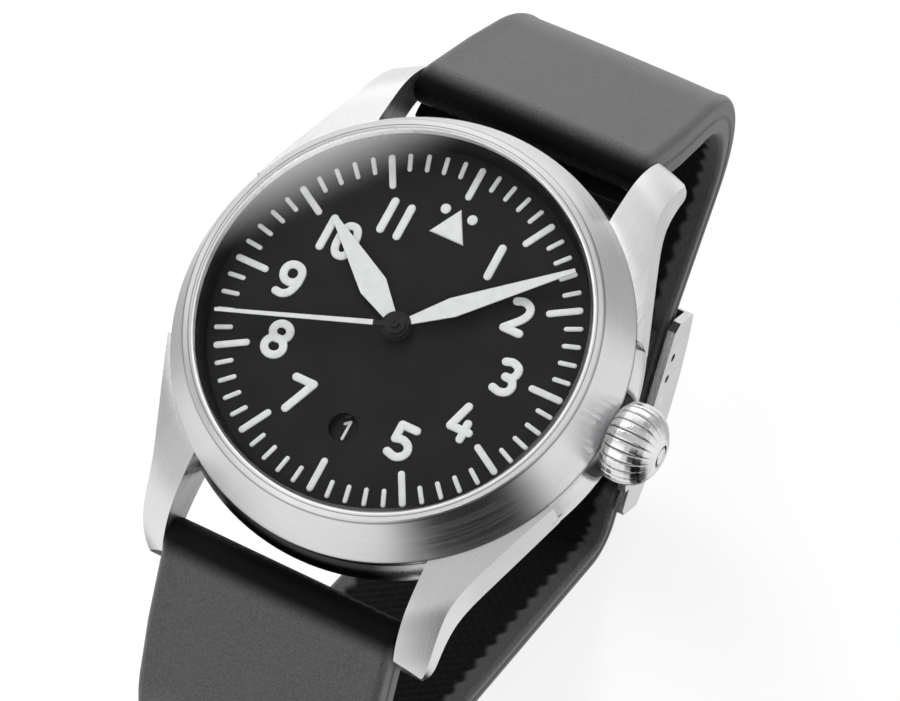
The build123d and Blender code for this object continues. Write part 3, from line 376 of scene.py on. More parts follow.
def rubber(name, look):
    # Matte rubber: the mesh attribute "inside" is 1 on the wrist side and at the nose by the case,
    # and 0 elsewhere. The colour darkens there, as painted shade at the nose. The sheen and gloss die away
    # there.
    principled = {"Specular IOR Level": look["gloss"], "Sheen Weight": look["sheen"],
                  "Sheen Roughness": look["sheenRoughness"]}
    material, tree, shader = newMaterial(name, principled)
    point = pointMm(tree)
    inside = addNode(tree, "ShaderNodeAttribute", attribute_name="inside").outputs["Fac"]
    fine = noise(tree, point, look["grainScale"], detail=3.0, roughness=0.7)
    dust = noise(tree, point, look["dustScale"], detail=4.0, roughness=0.7)
    outer = mixColour(tree, soften(tree, fine, *bands["middle"]), look["colourLow"], look["colourHigh"])
    dusty = soften(tree, dust, *bands["upper"], 0.0, look["dustShare"])
    outer = mixColour(tree, dusty, outer, look["dustColour"])
    tree.links.new(mixColour(tree, inside, outer, look["insideAndNoseShadeColour"]), shader.inputs["Base Color"])
    for socket, full, least in (("Specular IOR Level", look["gloss"], look["insideGloss"]),
                                ("Sheen Weight", look["sheen"], 0.0)):
        tree.links.new(soften(tree, inside, 0.0, 1.0, full, least), shader.inputs[socket])
    rough = soften(tree, fine, *bands["wide"], look["roughLow"], look["roughHigh"])
    tree.links.new(rough, shader.inputs["Roughness"])
    bump(tree, shader, fine, look["depth"])
    return material


rubberLook = {"gloss": 0.5, "insideGloss": 0.04, "sheen": 0.2, "sheenRoughness": 0.5, "grainScale": 5.0,
              "dustScale": 0.35, "dustShare": 0.5, "dustColour": (0.052, 0.053, 0.056, 1),
              "colourLow": (0.020, 0.0205, 0.022, 1), "colourHigh": (0.070, 0.071, 0.074, 1),
              "insideAndNoseShadeColour": (0.005, 0.005, 0.0055, 1), "roughLow": 0.42, "roughHigh": 0.62,
              "depth": 0.06}
materials["strapRubber"] = rubber("strapRubber", rubberLook)

# which CAD nodes take each finish
cadFinish = {
    "bezelSteel": ["bezel"],
    "caseSteel": ["case_middle"],
    "backSteel": ["case_back", "rotor"],
    "claspSteel": ["clasp_cover", "clasp_blade_1", "clasp_blade_2"],
    "crownSteel": ["crown"],
    "pinSteel": ["clasp_bar", "cover_hinge_pin", "far_hinge_pin", "strap_tubes", "strap_6_end_bar",
                 "clasp_button_right", "clasp_button_left", "spring_bar_12", "spring_bar_6",
                 "crown_tube", "stem", "winding_pinion"],
    "worksSteel": ["barrel_arbor", "ratchet_wheel", "escape_wheel", "pallet_fork", "cannon_pinion",
                   "mainspring", "hairspring", "rotor_bearing"],
    "platedBrass": ["main_plate", "train_bridge", "barrel_bridge", "balance_cock", "pallet_cock"],
    "giltBrass": ["centre_wheel", "third_wheel", "fourth_wheel", "balance_wheel", "hour_wheel",
                  "minute_wheel", "barrel"],
    "dialBlack": ["dial"], "flangeBlack": ["inner_flange"], "dateBlack": ["date_ring"],
    "handWhite": ["hour_hand", "minute_hand"], "secondWhite": ["second_hand"],
    "sealNylon": ["crystal_gasket", "case_back_seal"], "holderPlastic": ["movement_holder"],
    "sapphire": ["crystal"], "lume": ["dial_marks"], "strapRubber": ["strap_12", "strap_6"],
}
for finish, names in cadFinish.items():
    for nodeName in names:
        nodes[nodeName].data.materials.clear()
        nodes[nodeName].data.materials.append(materials[finish])
print("materials on", sum(len(names) for names in cadFinish.values()), "nodes")


# Mesh helpers

def ringFaces(rows, columns, loop):
    # quads between neighbouring rings; each ring is closed, and a loop also joins last to first
    i, j = np.meshgrid(np.arange(rows if loop else rows - 1), np.arange(columns), indexing="ij")
    nextRow, nextColumn = (i + 1) % rows, (j + 1) % columns
    corners = (i * columns + j, i * columns + nextColumn,
               nextRow * columns + nextColumn, nextRow * columns + j)
    return np.stack([c.ravel() for c in corners], 1)


def capFaces(ring, centre, columns, flip):
    j = np.arange(columns)
    first, second = ring * columns + j, ring * columns + (j + 1) % columns
    order = (second, first) if flip else (first, second)
    return np.stack([order[0], order[1], np.full(columns, centre)], 1)


def ringsToParts(rings, loop=False):
    # rings has the shape rows, columns, 3; open ends get a centre point and a fan
    rows, columns = rings.shape[:2]
    points = rings.reshape(-1, 3)
    faces = ringFaces(rows, columns, loop).tolist()
    if not loop:
        ends = np.stack([rings[0].mean(0), rings[-1].mean(0)])
        faces += capFaces(0, len(points), columns, True).tolist()
        faces += capFaces(rows - 1, len(points) + 1, columns, False).tolist()
        points = np.vstack([points, ends])
    return points, faces


def outward(points, faces):
    # six times the volume is the sum of triple products: negative for a shape turned inside out
    corners = [face[:3] for face in faces] + [(face[0], *face[2:]) for face in faces if len(face) == 4]
    a, b, c = points[np.array(corners)].transpose(1, 0, 2)
    volume = np.einsum("ij,ij->i", a, np.cross(b, c)).sum()
    return faces if volume > 0 else [face[::-1] for face in faces]


def makePiece(name, parts, body, material, attributes=None):
    # Parts are (points in mm, faces) pairs that become one mesh, at the origin. Attributes hold
    # a value for each point.
    allPoints, allFaces, start = [], [], 0
    for points, faces in parts:
        allPoints.append(points)
        allFaces += [[start + index for index in face] for face in outward(points, faces)]
        start += len(points)
    mesh = bpy.data.meshes.new(name)
    mesh.from_pydata((np.vstack(allPoints) * mm).tolist(), [], allFaces)
    mesh.validate()
    mesh.shade_smooth()
    mesh.materials.append(material)
    for key, values in (attributes or {}).items():
        layer = mesh.attributes.new(key, "FLOAT", "POINT")
        layer.data.foreach_set("value", values.astype(np.float32))
    piece = bpy.data.objects.new(name, mesh)
    bpy.context.scene.collection.objects.link(piece)
    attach(piece, body)
    return piece


# Dial furniture: raised strokes of white lume

dialTop = boxMm("dial")[1][2]
lumeShape = {"height": 0.15, "sink": 0.02, "section": 13, "capSteps": 7, "stroke": 0.72,
             "round": 0.45, "runSteps": 5, "curveSteps": 7, "loopSteps": 48}


def strokeParts(path, width, height, base, loop=False):
    # A pillow stroke: at each point of the path a half oval, width wide and height high.
    # Open ends continue half a width. They narrow as the square root of one minus t squared, and
    # their height falls as the root of that.
    path = np.asarray(path, float)
    if loop:
        way = np.roll(path, -1, 0) - np.roll(path, 1, 0)
        scale = np.ones(len(path))
    else:
        way = np.gradient(path, axis=0)
        turn = np.linspace(0, math.pi / 2, lumeShape["capSteps"] + 1)[1:-1]
        first, last = way[0] / np.linalg.norm(way[0]), way[-1] / np.linalg.norm(way[-1])
        before = path[0] - np.outer(np.sin(turn[::-1]), first) * width / 2
        after = path[-1] + np.outer(np.sin(turn), last) * width / 2
        scale = np.concatenate([np.cos(turn[::-1]), np.ones(len(path)), np.cos(turn)])
        way = np.vstack([np.tile(first, (len(turn), 1)), way, np.tile(last, (len(turn), 1))])
        path = np.vstack([before, path, after])
    way /= np.linalg.norm(way, axis=1, keepdims=True)
    side = np.stack([way[:, 1], -way[:, 0]], 1)
    angle = np.linspace(0, math.pi, lumeShape["section"])
    lateral = -np.cos(angle) * width / 2
    rise = np.sin(angle) ** lumeShape["round"] * height
    rings = np.zeros((len(path), len(angle), 3))
    rings[..., :2] = path[:, None, :] + side[:, None, :] * (scale[:, None] * lateral)[..., None]
    rings[..., 2] = base - lumeShape["sink"] + rise * scale[:, None] ** 0.5
    return ringsToParts(rings, loop)


def straight(first, last):
    # even steps from one point to the other
    return np.linspace(first, last, lumeShape["runSteps"])


def curveThrough(points, steps):
    # Catmull-Rom: each span bends so that its ends follow the neighbouring points
    p = np.asarray(points, float)
    p = np.vstack([2 * p[0] - p[1], p, 2 * p[-1] - p[-2]])
    t = np.linspace(0, 1, steps, endpoint=False)[:, None, None]
    a, b, c, d = p[:-3], p[1:-2], p[2:-1], p[3:]
    spans = 0.5 * (2 * b + (c - a) * t + (2 * a - 5 * b + 4 * c - d) * t ** 2
                   + (3 * b - a - 3 * c + d) * t ** 3)
    return np.vstack([spans.transpose(1, 0, 2).reshape(-1, 2), p[-2]])


def superellipse(steps, halfWidth, halfHeight, power):
    # x = sign(cos) |cos|^(2/power) a, and y the same with sin and b
    turn = np.linspace(0, 2 * math.pi, steps, endpoint=False)
    x, y = (np.sign(wave) * np.abs(wave) ** (2 / power) for wave in (np.cos(turn), np.sin(turn)))
    return np.stack([x * halfWidth, y * halfHeight], 1)


# each numeral's strokes on the dial: "run" joins two points, "bend" curves through points, and
# "ring" is an oval by its centre, half width, half height and power
numerals = {
    "one": [("run", (4.73, 9.74), (4.73, 7.10))],
    "two": [("bend", (7.99, 6.18), (8.62, 6.36), (9.25, 6.10), (9.40, 5.50), (9.02, 4.80), (8.0, 3.73)),
            ("run", (8.0, 3.72), (9.44, 3.72))],
    "three": [("bend", (9.60, 1.17), (10.2, 1.32), (10.82, 1.06), (10.93, 0.50), (10.60, 0.06),
               (10.14, 0.0)),
              ("bend", (10.14, 0.0), (10.78, -0.10), (11.05, -0.62), (10.84, -1.14), (10.25, -1.35),
               (9.60, -1.22))],
    "four": [("run", (8.62, -3.55), (7.98, -5.56)), ("run", (7.98, -5.56), (9.67, -5.56)),
             ("run", (9.25, -4.88), (9.25, -6.29))],
    "five": [("run", (5.72, -7.17), (4.38, -7.17)), ("run", (4.38, -7.17), (4.38, -8.40)),
             ("bend", (4.38, -8.43), (5.05, -8.31), (5.62, -8.58), (5.82, -9.10), (5.58, -9.60),
              (5.02, -9.85), (4.29, -9.68))],
    "seven": [("run", (-5.62, -7.21), (-3.99, -7.21)), ("run", (-3.99, -7.21), (-5.18, -9.96))],
    "eight": [("ring", (-8.67, -4.27), 0.75, 0.68, 2.0), ("ring", (-8.67, -5.65), 0.82, 0.75, 2.0)],
    "nine": [("ring", (-10.28, 0.60), 0.79, 0.79, 2.1),
             ("bend", (-9.49, 0.70), (-9.50, -0.10), (-9.78, -0.92), (-10.32, -1.31), (-10.90, -1.30))],
    "ten": [("run", (-9.39, 6.34), (-9.39, 3.67)), ("ring", (-7.54, 4.97), 0.70, 1.39, 2.5)],
    "eleven": [("run", (-5.44, 9.77), (-5.44, 7.10)), ("run", (-3.88, 9.77), (-3.88, 7.10))],
}


def strokeOf(kind, *values):
    if kind == "ring":
        path = np.array(values[0]) + superellipse(lumeShape["loopSteps"], *values[1:])
    else:
        path = straight(*values) if kind == "run" else curveThrough(values, lumeShape["curveSteps"])
    return strokeParts(path, lumeShape["stroke"], lumeShape["height"], dialTop, loop=kind == "ring")


numeralParts = [strokeOf(*stroke) for strokes in numerals.values() for stroke in strokes]
makePiece("dialNumerals", numeralParts, "case", materials["lume"])

trackShape = {"outer": 15.42, "hourLength": 3.1, "hourWidth": 0.6, "minuteLength": 1.62,
              "minuteWidth": 0.41, "height": 0.13, "dotPlace": (1.26, 10.94), "dotRadius": 0.44,
              "dotStep": 0.01, "triangle": ((-1.62, 8.62), (1.62, 8.62), (0.0, 11.39)),
              "sideSteps": 12, "triangleRise": ((1.0, -0.02), (0.985, 0.06), (0.95, 0.11),
                                                (0.86, 0.135), (0.5, 0.14), (0.1, 0.14))}


def trackBar(minute):
    long = minute % 5 == 0
    width = trackShape["hourWidth"] if long else trackShape["minuteWidth"]
    length = trackShape["hourLength"] if long else trackShape["minuteLength"]
    angle = math.radians(90 - 6 * minute)
    outer = trackShape["outer"] - width / 2
    inner = trackShape["outer"] - length + width / 2
    path = np.outer(straight(outer, inner), (math.cos(angle), math.sin(angle)))
    return strokeParts(path, width, trackShape["height"], dialTop)


def triangleParts():
    # rings of the triangle drawn in towards its incentre while they rise
    corners = np.array(trackShape["triangle"])
    t = np.linspace(0, 1, trackShape["sideSteps"], endpoint=False)[:, None, None]
    edge = corners + (np.roll(corners, -1, 0) - corners) * t
    edge = edge.transpose(1, 0, 2).reshape(-1, 2)
    sides = np.linalg.norm(np.roll(corners, -1, 0) - np.roll(corners, 1, 0), axis=1)
    centre = (corners * sides[:, None]).sum(0) / sides.sum()
    rings = [np.column_stack([centre + (edge - centre) * share, np.full(len(edge), dialTop + rise)])
             for share, rise in trackShape["triangleRise"]]
    return ringsToParts(np.array(rings))


def dotParts(side):
    # a stroke so short that its two ends make the dot
    x, y = trackShape["dotPlace"]
    path = [(side * x, y + step) for step in (-trackShape["dotStep"], 0.0, trackShape["dotStep"])]
    return strokeParts(path, 2 * trackShape["dotRadius"], trackShape["height"], dialTop)


trackParts = [trackBar(minute) for minute in range(60)] + [triangleParts(), dotParts(-1), dotParts(1)]
track = makePiece("dialTrack", trackParts, "case", materials["lume"])
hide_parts("dial_marks")

dateShape = {"stem": ((0.16, -8.62), (0.16, -10.18)), "flag": ((0.16, -8.62), (-0.22, -8.95)),
             "width": 0.25, "height": 0.04}
dateTop = boxMm("date_ring")[1][2]
dateParts = [strokeParts(straight(*dateShape[key]), dateShape["width"], dateShape["height"], dateTop)
             for key in ("stem", "flag")]
makePiece("dateFigure", dateParts, "date", materials["handWhite"])
print("dial furniture made")


# Crown: rounded lobes between fine grooves, with a smooth domed end and a ring cut in it

crownBox = boxMm("crown")
crownShape = {
    "stations": (0.0, 0.035, 0.10, 0.22, 0.36, 0.48, 0.60, 0.72, 0.84, 0.93, 0.975, 1.0),
    "sizes": (0.77, 0.83, 0.93, 0.985, 1.0, 0.99, 0.955, 0.89, 0.77, 0.61, 0.50, 0.40),
    "smoothing": (0.1, 0.2, 0.4, 0.2, 0.1), "radius": 3.45, "axisHeight": 4.4, "lobes": 24,
    "perLobe": 20, "depth": 0.26, "power": 8.0, "fadeFrom": 0.62, "endDome": 0.06, "rows": 70,
    "endRows": 26, "endFrom": 0.96, "ringAt": 0.85, "ringDepth": 0.16, "ringWidth": 0.09,
    "boreRadius": 0.45, "bore": 1.6,
}


def crownParts(shape):
    # radius = size(s) * (R - depth * |2t - 1|^power), with t running over each lobe, and the
    # grooves fade out towards the end
    startX, length = crownBox[0][0], crownBox[1][0] - crownBox[0][0]
    station = np.linspace(0, 1, shape["rows"])
    size = np.interp(station, shape["stations"], shape["sizes"])
    margin = len(shape["smoothing"]) // 2
    size = np.convolve(np.pad(size, margin, mode="edge"), shape["smoothing"], mode="valid")
    turn = np.arange(shape["lobes"] * shape["perLobe"]) / shape["perLobe"]
    groove = np.abs(2 * (turn % 1.0) - 1) ** shape["power"]
    fade = np.clip((1 - station) / (1 - shape["fadeFrom"]), 0, 1)[:, None]
    radius = size[:, None] * (shape["radius"] - groove * shape["depth"] * fade)
    inward = np.linspace(shape["endFrom"], 0.0, shape["endRows"], endpoint=False)[1:]
    # the end closes inwards, with a ring cut as a bell curve about its radius
    fromRing = (inward * radius[-1].mean() - shape["ringAt"]) / shape["ringWidth"]
    ring = np.exp(-fromRing ** 2)
    radius = np.vstack([radius, inward[:, None] * radius[-1]])
    x = startX - shape["endDome"] + np.concatenate([
        station * length,
        length + shape["endDome"] * (1 - inward ** 2) - shape["ringDepth"] * ring])
    angle = turn * 2 * math.pi / shape["lobes"]
    rings = np.zeros((len(x), len(turn), 3))
    rings[..., 0] = x[:, None]
    rings[..., 1] = radius * np.cos(angle)
    rings[..., 2] = radius * np.sin(angle) + shape["axisHeight"]
    inner = np.zeros((2, len(turn), 3))
    inner[..., 0] = [[startX + shape["bore"]], [startX - shape["endDome"]]]
    inner[..., 1] = shape["boreRadius"] * np.cos(angle)
    inner[..., 2] = shape["boreRadius"] * np.sin(angle) + shape["axisHeight"]
    # groove share: depth in the lobes' grooves and in the end's ring cut, where shade is painted
    share = np.vstack([groove * fade, np.tile(ring[:, None], len(turn))])
    values = np.concatenate([np.zeros(2 * len(turn)), share.ravel(), [0.0, 0.0]])
    return ringsToParts(np.concatenate([inner, rings])), values


crownMesh, crownGroove = crownParts(crownShape)
crownPiece = makePiece("crownLobes", [crownMesh], "crown_and_stem",
                       materials["crownSteel"], {"groove": crownGroove})
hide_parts("crown")
print("crown made")


# Strap halves: a rounded section carried along the strap's outer line, in the Y Z plane. Each heel
# has its middle and half sizes, and each nose the run over which its painted shade fades to the outer
# colour.

barLow, barHigh = boxMm("spring_bar_12")
strapShape = {
    "bar": ((barLow[1] + barHigh[1]) / 2, (barLow[2] + barHigh[2]) / 2),
    "endRadius": 2.15, "lugThick": 3.9, "armThick": 2.5, "bendRadius": 13.0,
    "reach": boxMm("strap_12")[1][1], "leaveAngle": 45.0, "armSlope": 41.0, "claspY": 22.3,
    "endAlong": 10.5, "apex": (3.2, -51.2), "apexRadius": 4.2, "endBarAlong": 19.2,
    "loopMiddle": (0.0, -20.0), "lugHalf": 10.9, "endHalf": 8.8, "taperTop": -3.0,
    "taperLow": -34.0, "outerRound": 0.75, "innerRound": 0.45, "crown": 0.12, "seamDepth": 0.16,
    "seamPlace": 0.52, "seamWidth": 0.14, "rim": 1.4, "rimSoft": 0.5, "rimShade": 0.35,
    "waveLength": 2.0, "wave": 0.2, "quiltPitch": 1.15, "quiltDepth": 0.2, "quiltPower": 0.6,
    "noseShadeUpper": (-2.0, -0.4), "noseShadeLower": (-1.0, 0.8), "step": 0.24, "lateralSteps": 90,
    "sideSteps": 16, "outerSteps": 30, "roundSteps": 6, "capSteps": 12,
    "heelUpper": ((21.1, -1.0), (1.4, 0.5)), "heelLower": ((21.45, -1.4), (1.25, 0.4)),
    "heelPower": 4.0, "heelSteps": 28, "heelColumns": 60, "heelMargin": 0.25,
}


def unit(angle):
    return np.array([math.cos(math.radians(angle)), math.sin(math.radians(angle))])


def lineMeet(first, second):
    # where two lines, given as normal angle and offset, cross
    rows = np.array([unit(first[0]), unit(second[0])])
    return np.linalg.solve(rows, np.array([first[1], second[1]]))


def filletPath(points, radii, step):
    # straight runs joined by tangent arcs, sampled at even steps; gives places and unit ways
    points = [np.asarray(p, float) for p in points]
    places, ways, last = [], [], points[0]
    for k, radius in enumerate(radii, 1):
        into = (points[k] - points[k - 1]) / np.linalg.norm(points[k] - points[k - 1])
        out = (points[k + 1] - points[k]) / np.linalg.norm(points[k + 1] - points[k])
        cross = into[0] * out[1] - into[1] * out[0]
        turn = math.atan2(cross, float(into @ out))
        cut = radius * math.tan(abs(turn) / 2)
        start = points[k] - into * cut
        count = max(2, int(np.linalg.norm(start - last) / step))
        places.append(np.linspace(last, start, count, endpoint=False))
        ways.append(np.tile(into, (count, 1)))
        side = np.array([-into[1], into[0]]) * math.copysign(1, turn)
        count = max(4, int(radius * abs(turn) / step))
        a = np.linspace(0, abs(turn), count, endpoint=False)[:, None]
        places.append(start + radius * (side * (1 - np.cos(a)) + into * np.sin(a)))
        ways.append(into * np.cos(a) + side * np.sin(a))
        last = points[k] + out * cut
    count = max(2, int(np.linalg.norm(points[-1] - last) / step)) + 1
    places.append(np.linspace(last, points[-1], count))
    ways.append(np.tile(out, (count, 1)))
    return np.vstack(places), np.vstack(ways)


def strapSection(shape):
    # The closed section as shares: x = ax * half + bx and depth = at * thick + bt, from the
    # middle of the outer face round one edge, the wrist side and the other edge. Kind counts
    # the stretches: outer face, outer round, side, inner round, wrist side.
    ro, ri = shape["outerRound"], shape["innerRound"]
    u = np.linspace(0, 1, shape["outerSteps"] // 2 + 1)[:-1]
    a = np.linspace(0, math.pi / 2, shape["roundSteps"] + 1)[:-1]
    q = np.linspace(0, 1, shape["sideSteps"] + 1)[:-1]
    w = np.linspace(1, 0, shape["lateralSteps"] // 2 + 1)
    one, nil = np.ones_like, np.zeros_like
    ax = np.concatenate([u, one(a), one(q), one(a), w])
    bx = np.concatenate([-u * ro, ro * (np.sin(a) - 1), nil(q), ri * (np.cos(a) - 1), -w * ri])
    at = np.concatenate([nil(u), nil(a), q, one(a), one(w)])
    bt = np.concatenate([nil(u), ro * (1 - np.cos(a)), ro - q * (ro + ri), ri * (np.sin(a) - 1), nil(w)])
    kind = np.concatenate([nil(u), one(a), one(q) * 2, one(a) * 3, one(w) * 4])
    return [np.concatenate([v, s * v[-2:0:-1]])
            for v, s in ((ax, -1), (bx, -1), (at, 1), (bt, 1), (kind, 1))]


def capRings(ring, way, normal, deep, steps):
    # the end ring, flattened by the cosine while it moves out by the sine of a quarter turn
    offset = ring[:, 1:] - ring[:, 1:].mean(0)
    out, ahead = offset @ normal, offset @ way
    centre = (out.max() + out.min()) / 2
    rows = []
    for a in steps:
        flat = (out - centre) * math.cos(a) + centre
        spot = np.outer(flat, normal) + np.outer(ahead + deep / 2 * math.sin(a), way)
        rows.append(np.column_stack([ring[:, 0], ring[:, 1:].mean(0) + spot]))
    return rows


def strapParts(places, ways, thick, half, shape, endCap, noseShadeRamp):
    # The section, as wide as 2 * half and as deep as thick, is set square to the line at each
    # place, and the rounded start lies at the case. The outer face is crowned as a parabola, the
    # seam is a bell curve in depth, and the quilt is a product of two crossing sines.
    ax, bx, at, bt, kind = strapSection(shape)
    normal = np.stack([-ways[:, 1], ways[:, 0]], 1)
    normal *= np.sign(normal[0] @ (places[0] - np.array(shape["loopMiddle"])))
    along = np.concatenate([[0], np.cumsum(np.linalg.norm(np.diff(places, axis=0), axis=1))])
    half, thick, walk = half[:, None], thick[:, None], along[:, None]
    x = ax * half + bx
    depth = at * thick + bt + (kind == 0) * shape["crown"] * (x / half) ** 2
    seam = np.exp(-((depth - shape["seamPlace"] * thick) / shape["seamWidth"]) ** 2) * (kind == 2)
    x -= np.sign(x) * seam * shape["seamDepth"]
    # the quilted field ends in a waved line short of the edges
    wave = shape["wave"] * np.sin(2 * math.pi * walk / shape["waveLength"])
    field = np.clip((half - shape["rim"] + wave - np.abs(x)) / shape["rimSoft"], 0, 1) * (kind == 4)
    p = math.pi / shape["quiltPitch"]
    diamonds = np.abs(np.sin((x + walk) * p) * np.sin((x - walk) * p)) ** shape["quiltPower"]
    depth -= field * shape["quiltDepth"] * (1 - diamonds)
    inside = np.where(kind == 4, shape["rimShade"] + (1 - shape["rimShade"]) * field, 0.0)
    rings = np.stack([x, places[:, None, 0] - normal[:, None, 0] * depth,
                      places[:, None, 1] - normal[:, None, 1] * depth], -1)
    steps = np.linspace(0, math.pi / 2, shape["capSteps"] + 1)[1:-1]
    first = capRings(rings[0], -ways[0], normal[0], thick[0, 0], steps)[::-1]
    last = capRings(rings[-1], ways[-1], normal[-1], thick[-1, 0], steps if endCap else [])
    # painted shade: the end by the case darkens softly along its outer line
    travel = np.concatenate([-thick[0] / 2 * steps[::-1], along])
    nose = np.interp(travel, noseShadeRamp, (1, 0))[:, None]
    values = np.vstack([np.tile(inside[0], (len(first), 1)), inside])
    values = np.vstack([np.maximum(values, nose), np.tile(inside[-1], (len(last), 1))])
    values = np.concatenate([values.ravel(), [1.0, inside[-1].mean()]])
    return ringsToParts(np.array(first + list(rings) + last)), values


def heelParts(shape, middle, size):
    # a superellipse section carried across the strap, under its rounded end
    half = shape["lugHalf"] - shape["heelMargin"]
    x = np.linspace(-half, half, shape["heelColumns"])
    section = np.array(middle) + superellipse(shape["heelSteps"], *size, shape["heelPower"])
    rings = np.zeros((len(x), len(section), 3))
    rings[..., 0] = x[:, None]
    rings[..., 1:] = section
    return ringsToParts(rings)


def thickness(shape, ways, endWay):
    # follows the turn of the first bend from the lug's to the arm's, and never grows again
    turned, full = (np.arccos(np.clip(way @ ways[0], -1, 1)) for way in (ways, endWay))
    change = (shape["armThick"] - shape["lugThick"]) * np.clip(turned / full, 0, 1)
    return np.minimum.accumulate(shape["lugThick"] + change)


def strapHalf(shape, corners, radii, slope, endCap, noseShadeRamp, heel):
    # slope is the angle in degrees of the run after the first bend
    places, ways = filletPath(corners, radii, shape["step"])
    half = np.interp(places[:, 1], [shape["taperLow"], shape["taperTop"]],
                     [shape["endHalf"], shape["lugHalf"]])
    thick = thickness(shape, ways, -unit(slope))
    strap, inside = strapParts(places, ways, thick, half, shape, endCap, noseShadeRamp)
    heelMesh = heelParts(shape, *heel)
    return [strap, heelMesh], np.concatenate([inside, np.ones(len(heelMesh[0]))])


def strapCorners(shape):
    # Lines are normal angle and offset. Both halves leave the bar and bend about one centre; the
    # upper follows the arm to the clasp, and the lower goes by the apex to its end bar.
    barPoint, radius = np.array(shape["bar"]), shape["bendRadius"]
    leaveWay = unit(shape["leaveAngle"])
    leave = (shape["leaveAngle"], barPoint @ leaveWay + shape["endRadius"])
    bendY = shape["reach"] - radius
    bend = np.array([bendY, (leave[1] - radius - bendY * leaveWay[0]) / leaveWay[1]])
    armAngle = shape["armSlope"] - 90
    arm = (armAngle, bend @ unit(armAngle) + radius)
    claspZ = (arm[1] - shape["claspY"] * unit(armAngle)[0]) / unit(armAngle)[1]
    clasp, armWay = np.array([shape["claspY"], claspZ]), -unit(shape["armSlope"])
    start = barPoint + shape["endRadius"] * leaveWay
    upper = [start, lineMeet(leave, arm), clasp + shape["endAlong"] * armWay]
    toApex = bend + np.array([shape["apex"][0], -shape["apex"][1]])
    lowSlope = math.degrees(math.atan2(toApex[1], toApex[0]) - math.asin(radius / np.linalg.norm(toApex)))
    low = (lowSlope - 90, bend @ unit(lowSlope - 90) + radius)
    endBar = (clasp + shape["endBarAlong"] * armWay) * np.array([-1, 1])
    lower = [start, lineMeet(leave, low), lineMeet(low, (-180 - armAngle, arm[1])), endBar]
    return upper, lower, lowSlope


upperCorners, lowerCorners, lowerSlope = strapCorners(strapShape)
upperParts, upperInside = strapHalf(strapShape, upperCorners, [strapShape["bendRadius"]],
                                    strapShape["armSlope"], False, strapShape["noseShadeUpper"],
                                    strapShape["heelUpper"])
strap12 = makePiece("strapUpper", upperParts, "strap_12_half",
                    materials["strapRubber"], {"inside": upperInside})
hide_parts("strap_12")

lowerParts, lowerInside = strapHalf(strapShape, lowerCorners,
                                    [strapShape["bendRadius"], strapShape["apexRadius"]], lowerSlope,
                                    True, strapShape["noseShadeLower"], strapShape["heelLower"])
lowerParts = [(points * np.array([1, -1, 1]), faces) for points, faces in lowerParts]
strap6 = makePiece("strapLower", lowerParts, "strap_6_half", materials["strapRubber"],
                   {"inside": lowerInside})
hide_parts("strap_6")
print("strap halves made")


# Stage: floor, lamps, world and camera

floorLook = {"half": 3000.0, "gap": 0.05, "colour": grey(0.93), "rough": 0.8, "gloss": 0.1, "white": 0.8}


def makeFloor(look):
    # pale paper that the camera sees nearly white, while it still takes the shadows
    material, tree, shader = newMaterial("floorPaper", {
        "Base Color": look["colour"], "Roughness": look["rough"], "Specular IOR Level": look["gloss"]})
    glow = addNode(tree, "ShaderNodeEmission", {"Color": grey(1.0)}).outputs[0]
    seen = addNode(tree, "ShaderNodeLightPath").outputs["Is Camera Ray"]
    blend = addNode(tree, "ShaderNodeMixShader", {
        0: product(tree, seen, look["white"]), 1: shader.outputs[0], 2: glow})
    output = next(node for node in tree.nodes if node.type == "OUTPUT_MATERIAL")
    tree.links.new(blend.outputs[0], output.inputs["Surface"])
    h, low = look["half"] * mm, cadLow[2] - look["gap"] * mm
    mesh = bpy.data.meshes.new("floor")
    mesh.from_pydata([(-h, -h, low), (h, -h, low), (h, h, low), (-h, h, low)], [], [(0, 1, 2, 3)])
    mesh.materials.append(material)
    piece = bpy.data.objects.new("floor", mesh)
    bpy.context.scene.collection.objects.link(piece)
    piece.visible_glossy = False  # metal mirrors the studio below the paper's edge too


makeFloor(floorLook)

lamps = {
    "keyLamp": {"place": (-420.0, 520.0, 420.0), "size": 260.0, "watts": 4.1},
    "fillLamp": {"place": (520.0, -260.0, 420.0), "size": 420.0, "watts": 1.2},
    "topLamp": {"place": (-120.0, -220.0, 700.0), "size": 300.0, "watts": 0.95},
}


def placed(right, up, back, place):
    # a matrix from three directions and a place in mm
    rows = np.column_stack([right, up, back, np.array(place) * mm]).tolist()
    return Matrix(rows + [[0, 0, 0, 1]])


for name, lamp in lamps.items():
    data = bpy.data.lights.new(name, "AREA")
    data.energy, data.size = lamp["watts"], lamp["size"] * mm
    item = bpy.data.objects.new(name, data)
    back = np.array(lamp["place"]) / np.linalg.norm(lamp["place"])
    side = np.cross((0, 0, 1), back)
    side /= np.linalg.norm(side)
    item.matrix_world = placed(side, np.cross(back, side), back, lamp["place"])
    bpy.context.scene.collection.objects.link(item)
    item.visible_camera = item.visible_glossy = False


def cone(tree, way, axis, outer, inner, start, end):
    # from start outside the outer angle to end within the inner one, both in degrees from the axis
    near = vectorCalc(tree, "DOT_PRODUCT", way, axis)
    return soften(tree, near, math.cos(math.radians(outer)), math.cos(math.radians(inner)), start, end)


